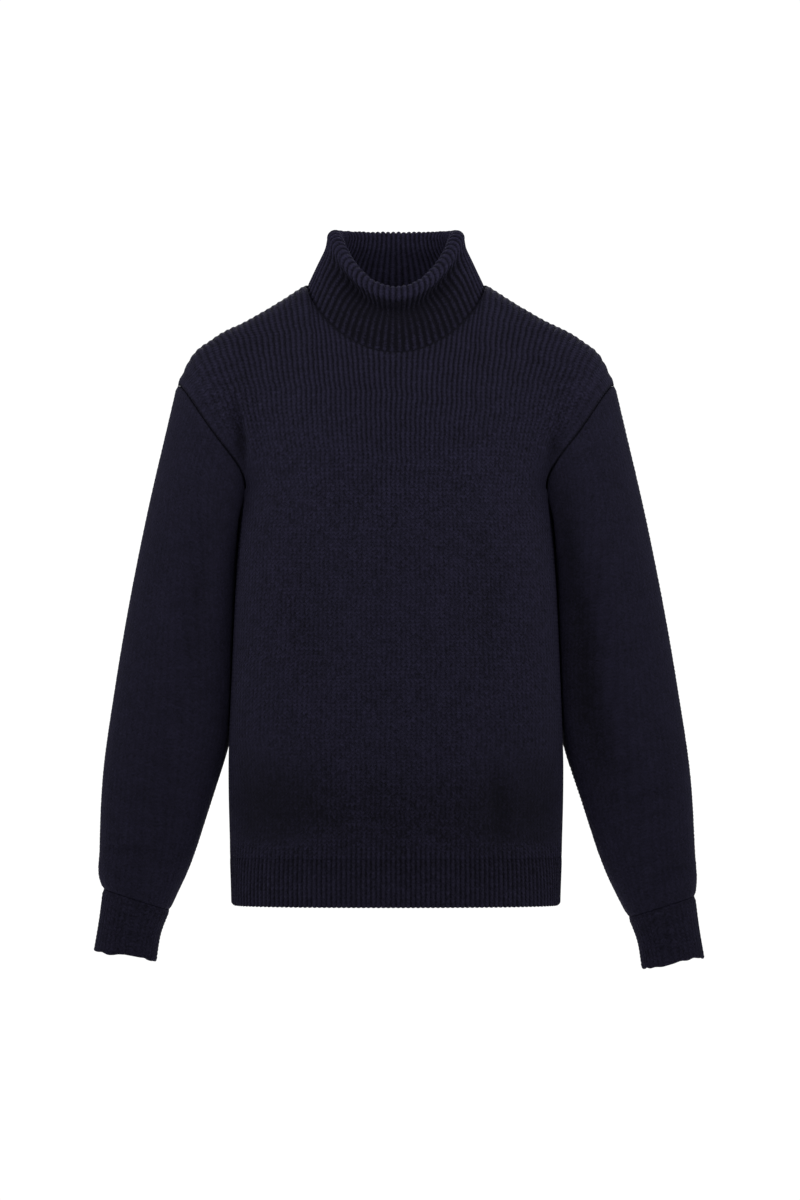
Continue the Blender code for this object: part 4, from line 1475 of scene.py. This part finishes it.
def add_sleeve(hand, seed):
    form, length = sleeve_form(HANG[hand], SLEEVE_ROUND, COURSE / 2)
    total = length[-1]
    ribs = mix(SLEEVE_RIBS["armhole"], SLEEVE_RIBS["cuff"], np.clip(length / total, 0, 1))
    round_share = np.linspace(0, 1, SLEEVE_ROUND + 1)
    turn = SLEEVE_RIBS["armhole"] / 2 + ribs[:, None] * (round_share - 0.5)
    along = length[:, None] + np.zeros(SLEEVE_ROUND)
    show = SLEEVE_SHOW + 0 * along
    relief = rib_relief(turn[:, :-1], along, SLEEVE_RIBS["armhole"], seed, SLEEVE_RELIEF * show)
    relief = relief + stitch_swell(turn[:, :-1], length, STITCH_SWELL, seed)
    relief = relief * smooth_step(along / RIB_START) * smooth_step((total - along) / RIB_START)
    relief = relief - SLEEVE_SEAM_DIPS["armhole"] * sewn(along)
    relief = relief - SLEEVE_SEAM_DIPS["cuff"] * sewn(total - along)
    # Painted shade along the armhole seam.
    painted_shade = ARMHOLE_SEAM_SHADE[0] * bell(along, ARMHOLE_SEAM_SHADE[1])
    add_tube(
        f"sleeve_{hand}", form, length, turn, relief, show, painted_shade, SLEEVE_FOLDS[hand],
        SLEEVE_KEPT_EVERY, on_left=hand == "left",
    )


for hand, seed in (("left", 5), ("right", 6)):
    add_sleeve(hand, seed)

# %% [markdown]
# ## Cuffs
#
# The cuffs are short tubes in the close rib, pulled nearly flat. A tube cut off straight would look
# machined. Worn rib is slack and its edge a little wavy, so each edge is a sum of three waves round the
# wrist, of its own for each hand.

# %% Make the cuffs
# Each wave's count round the edge, its height in mm and where it starts.
CUFF_WAVES = {
    "left": ((2, 1.3, 0.6), (5, 0.9, 2.2), (9, 0.6, 4.0)),
    "right": ((2, 1.2, 2.9), (4, 1.0, 0.8), (11, 0.6, 1.5)),
}
CUFF_SHOW = 0.22
CUFF_SWELL = 0.6 * STITCH_SWELL
CUFF_SEAM_DIP = 0.1
CUFF_DARKENING = 0.04


def add_cuff(hand, seed):
    form, length = cuff_form(HANG[hand], BAND_PER_RIB, COURSE / 2)
    total = length[-1]
    columns = form.shape[1]
    angle = np.linspace(0, 2 * math.pi, columns, endpoint=False)
    wave = sum(size * np.sin(count * angle + start) for count, size, start in CUFF_WAVES[hand])
    down = unit((form[-1] - form[LIP_ROWS]).mean(axis=0))
    form = form + np.clip(length / total, 0, 1)[:, None, None] ** 3 * wave[:, None] * down
    turn = np.arange(columns + 1) / BAND_PER_RIB + 0 * length[:, None]
    along = length[:, None] + np.zeros(columns)
    show = CUFF_SHOW + 0 * along
    relief = rib_relief(turn[:, :-1], along, CUFF_RIBS, seed, show)
    relief = relief + stitch_swell(turn[:, :-1], length, CUFF_SWELL, seed)
    relief = relief * smooth_step(along / RIB_START) - CUFF_SEAM_DIP * sewn(along) - rolled(total - along)
    # The whole cuff is painted a touch darker.
    painted_shade = CUFF_DARKENING + 0 * along
    add_tube(
        f"cuff_{hand}", form, length, turn, relief, show, painted_shade, (), BAND_PER_RIB, on_left=hand == "left"
    )


for hand, seed in (("left", 7), ("right", 8)):
    add_cuff(hand, seed)

# %% [markdown]
# ## Collar
#
# The collar is sewn to the neck seam, stands up, rolls over inwards and goes down again. Its ribs follow
# it all the way, so they show as scallops along the top of the roll and as stripes inside. The hollow under
# the roll is painted darker in front, as shade, the same from every side. That painted shade is a value on
# the mesh's points, which the wool reads, and not a dark light in the studio.

# %% Shade in the hollow
COLLAR_SEAM_ROW = 1
HOLLOW_SHADE = {"base": 0.38, "under roll": 0.56}
# The outer layer's share of the tube's length, and shares of its rise where the shade changes and ends.
OUTER_SHARE = 0.62
UNDER_ROLL_FROM, UNDER_ROLL_REACH = 0.3, 0.3
HOLLOW_TOP, HOLLOW_EASE = 0.84, 0.1
# The shade is in front alone: the cosine of the way round where it starts, and over how much it grows.
HOLLOW_FRONT, HOLLOW_FRONT_REACH = 0.1, 0.7


def collar_hollow(form, length):
    """Painted shade in the hollow under the roll, 0 to 1."""
    angle = np.linspace(0, 2 * math.pi, form.shape[1], endpoint=False)
    front = smooth_step((np.cos(angle) - HOLLOW_FRONT) / HOLLOW_FRONT_REACH)
    outer = (length < OUTER_SHARE * length[-1])[:, None]
    seam_z = form[COLLAR_SEAM_ROW, :, 2]
    rise = (form[..., 2] - seam_z) / (form[..., 2].max(axis=0) - seam_z)
    under_roll = smooth_step((rise - UNDER_ROLL_FROM) / UNDER_ROLL_REACH)
    ends = smooth_step(rise / HOLLOW_EASE) * smooth_step((HOLLOW_TOP - rise) / HOLLOW_EASE)
    return mix(HOLLOW_SHADE["base"], HOLLOW_SHADE["under roll"], under_roll) * front * outer * ends


# The darkest painted shade, under the roll.
print("stitches in the hollow close up by up to", HOLLOW_SHADE["under roll"])

# %% Make the collar
COLLAR_ROWS = {"outer": 42, "roll": 15, "inner": 26}
COLLAR_RIB_START = 11.0
COLLAR_SEAM_DIP = 0.5


def add_collar(node, seed):
    form, length = collar_form(BAND_PER_RIB, *COLLAR_ROWS.values())
    columns = form.shape[1]
    turn = np.arange(columns + 1) / BAND_PER_RIB + 0 * length[:, None]
    along = length[:, None] + np.zeros(columns)
    show = np.ones(along.shape)
    relief = rib_relief(turn[:, :-1], along, COLLAR_RIBS, seed, show)
    relief = relief * smooth_step(along / COLLAR_RIB_START) - COLLAR_SEAM_DIP * sewn(along)
    # Painted shade along the neck seam and in the hollow under the roll.
    at_seam = NECK_SEAM_SHADE[0] * bell(along - length[COLLAR_SEAM_ROW], NECK_SEAM_SHADE[1])
    painted_shade = np.maximum(at_seam, collar_hollow(form, length))
    add_tube(node, form, length, turn, relief, show, painted_shade, (), BAND_PER_RIB)


add_collar("collar", 9)

# %% [markdown]
# ## Studio
#
# The photo has no ground and a plain white surround, so the floor is a white paper disc that glows a
# little and the world is white to the camera. Dark wool needs light from many sides to show its grain:
# three small softboxes stand in front, one on each side, and a strong one behind keeps the back from
# going black in the other views.

# %% Floor
FLOOR_Z_M = -1.3
FLOOR_RADIUS_M = 3.0
FLOOR_GLOW = 0.3

bpy.ops.object.select_all(action="DESELECT")
bpy.ops.mesh.primitive_circle_add(
    vertices=96, radius=FLOOR_RADIUS_M, fill_type="NGON", location=(0, 0, FLOOR_Z_M)
)
floor = bpy.context.object
floor.name = "studio_floor"
bpy.ops.object.transform_apply(location=True, rotation=True, scale=True)
# White background paper: matt, with a glow that keeps it plain white to the edge of the picture.
paper = bpy.data.materials.new("white_paper_sweep")
paper.use_nodes = True
paper_shader = paper.node_tree.nodes["Principled BSDF"]
paper_shader.inputs["Base Color"].default_value = colour("#fafafa")
paper_shader.inputs["Roughness"].default_value = 0.9
paper_shader.inputs["Emission Color"].default_value = colour("#ffffff")
paper_shader.inputs["Emission Strength"].default_value = FLOOR_GLOW
floor.data.materials.append(paper)
floor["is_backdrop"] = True
print("floor at", FLOOR_Z_M, "m")

# %% Surround
# What the wool receives from all round, and what the camera sees behind it.
SURROUND_LIGHT, SURROUND_SEEN = 0.2, 1.05

world = bpy.data.worlds.new("white_studio")
world.use_nodes = True
bpy.context.scene.world = world
tree = world.node_tree
tree.nodes.clear()
by_camera = add_node(tree, "ShaderNodeLightPath").outputs["Is Camera Ray"]
strength = add_node(tree, "ShaderNodeMapRange", i0=by_camera, i3=SURROUND_LIGHT, i4=SURROUND_SEEN)
background = add_node(tree, "ShaderNodeBackground", Color=colour("#ffffff"), Strength=strength.outputs[0])
add_node(tree, "ShaderNodeOutputWorld", Surface=background.outputs[0])
print("the surround gives", SURROUND_LIGHT, "and shows as", SURROUND_SEEN)

# %% Softboxes
LIGHT_AIM = (0.0, 0.0, -0.15)
# Name, place in metres, size in metres and power in watts.
LIGHTS = (
    ("left_softbox", (-0.55, -0.8, 0.3), 0.6, 3.6),
    ("right_softbox", (0.55, -0.8, 0.35), 0.6, 3.9),
    ("middle_softbox", (0.0, -0.95, 0.35), 0.6, 3.5),
    ("left_side_softbox", (-2.2, -0.2, 0.5), 1.2, 13.0),
    ("right_side_softbox", (2.2, -0.2, 0.5), 1.2, 13.0),
    ("back_softbox", (0.0, 2.4, 0.9), 1.4, 70.0),
)
for name, place, size, power_watts in LIGHTS:
    bpy.ops.object.light_add(type="AREA", location=place)
    light = bpy.context.object
    light.name = name
    light.data.size = size
    light.data.energy = power_watts
    light.visible_camera = False
    away = light.location - Vector(LIGHT_AIM)
    light.rotation_euler = away.to_track_quat("Z", "Y").to_euler()

bpy.context.scene.view_settings.view_transform = "Standard"
print("softboxes:", len(LIGHTS))

# %% [markdown]
# ## The two boxes
#
# Knit may stand a little proud of its solids, by a few millimetres. The two boxes show it.

# %% The size of the solids and of the knit
visual_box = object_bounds()
boxes = {"cad": [list(corner) for corner in cad_box], "visual": [list(corner) for corner in visual_box]}
for name, box in boxes.items():
    print(name, "box", [[round(value, 4) for value in corner] for corner in box])
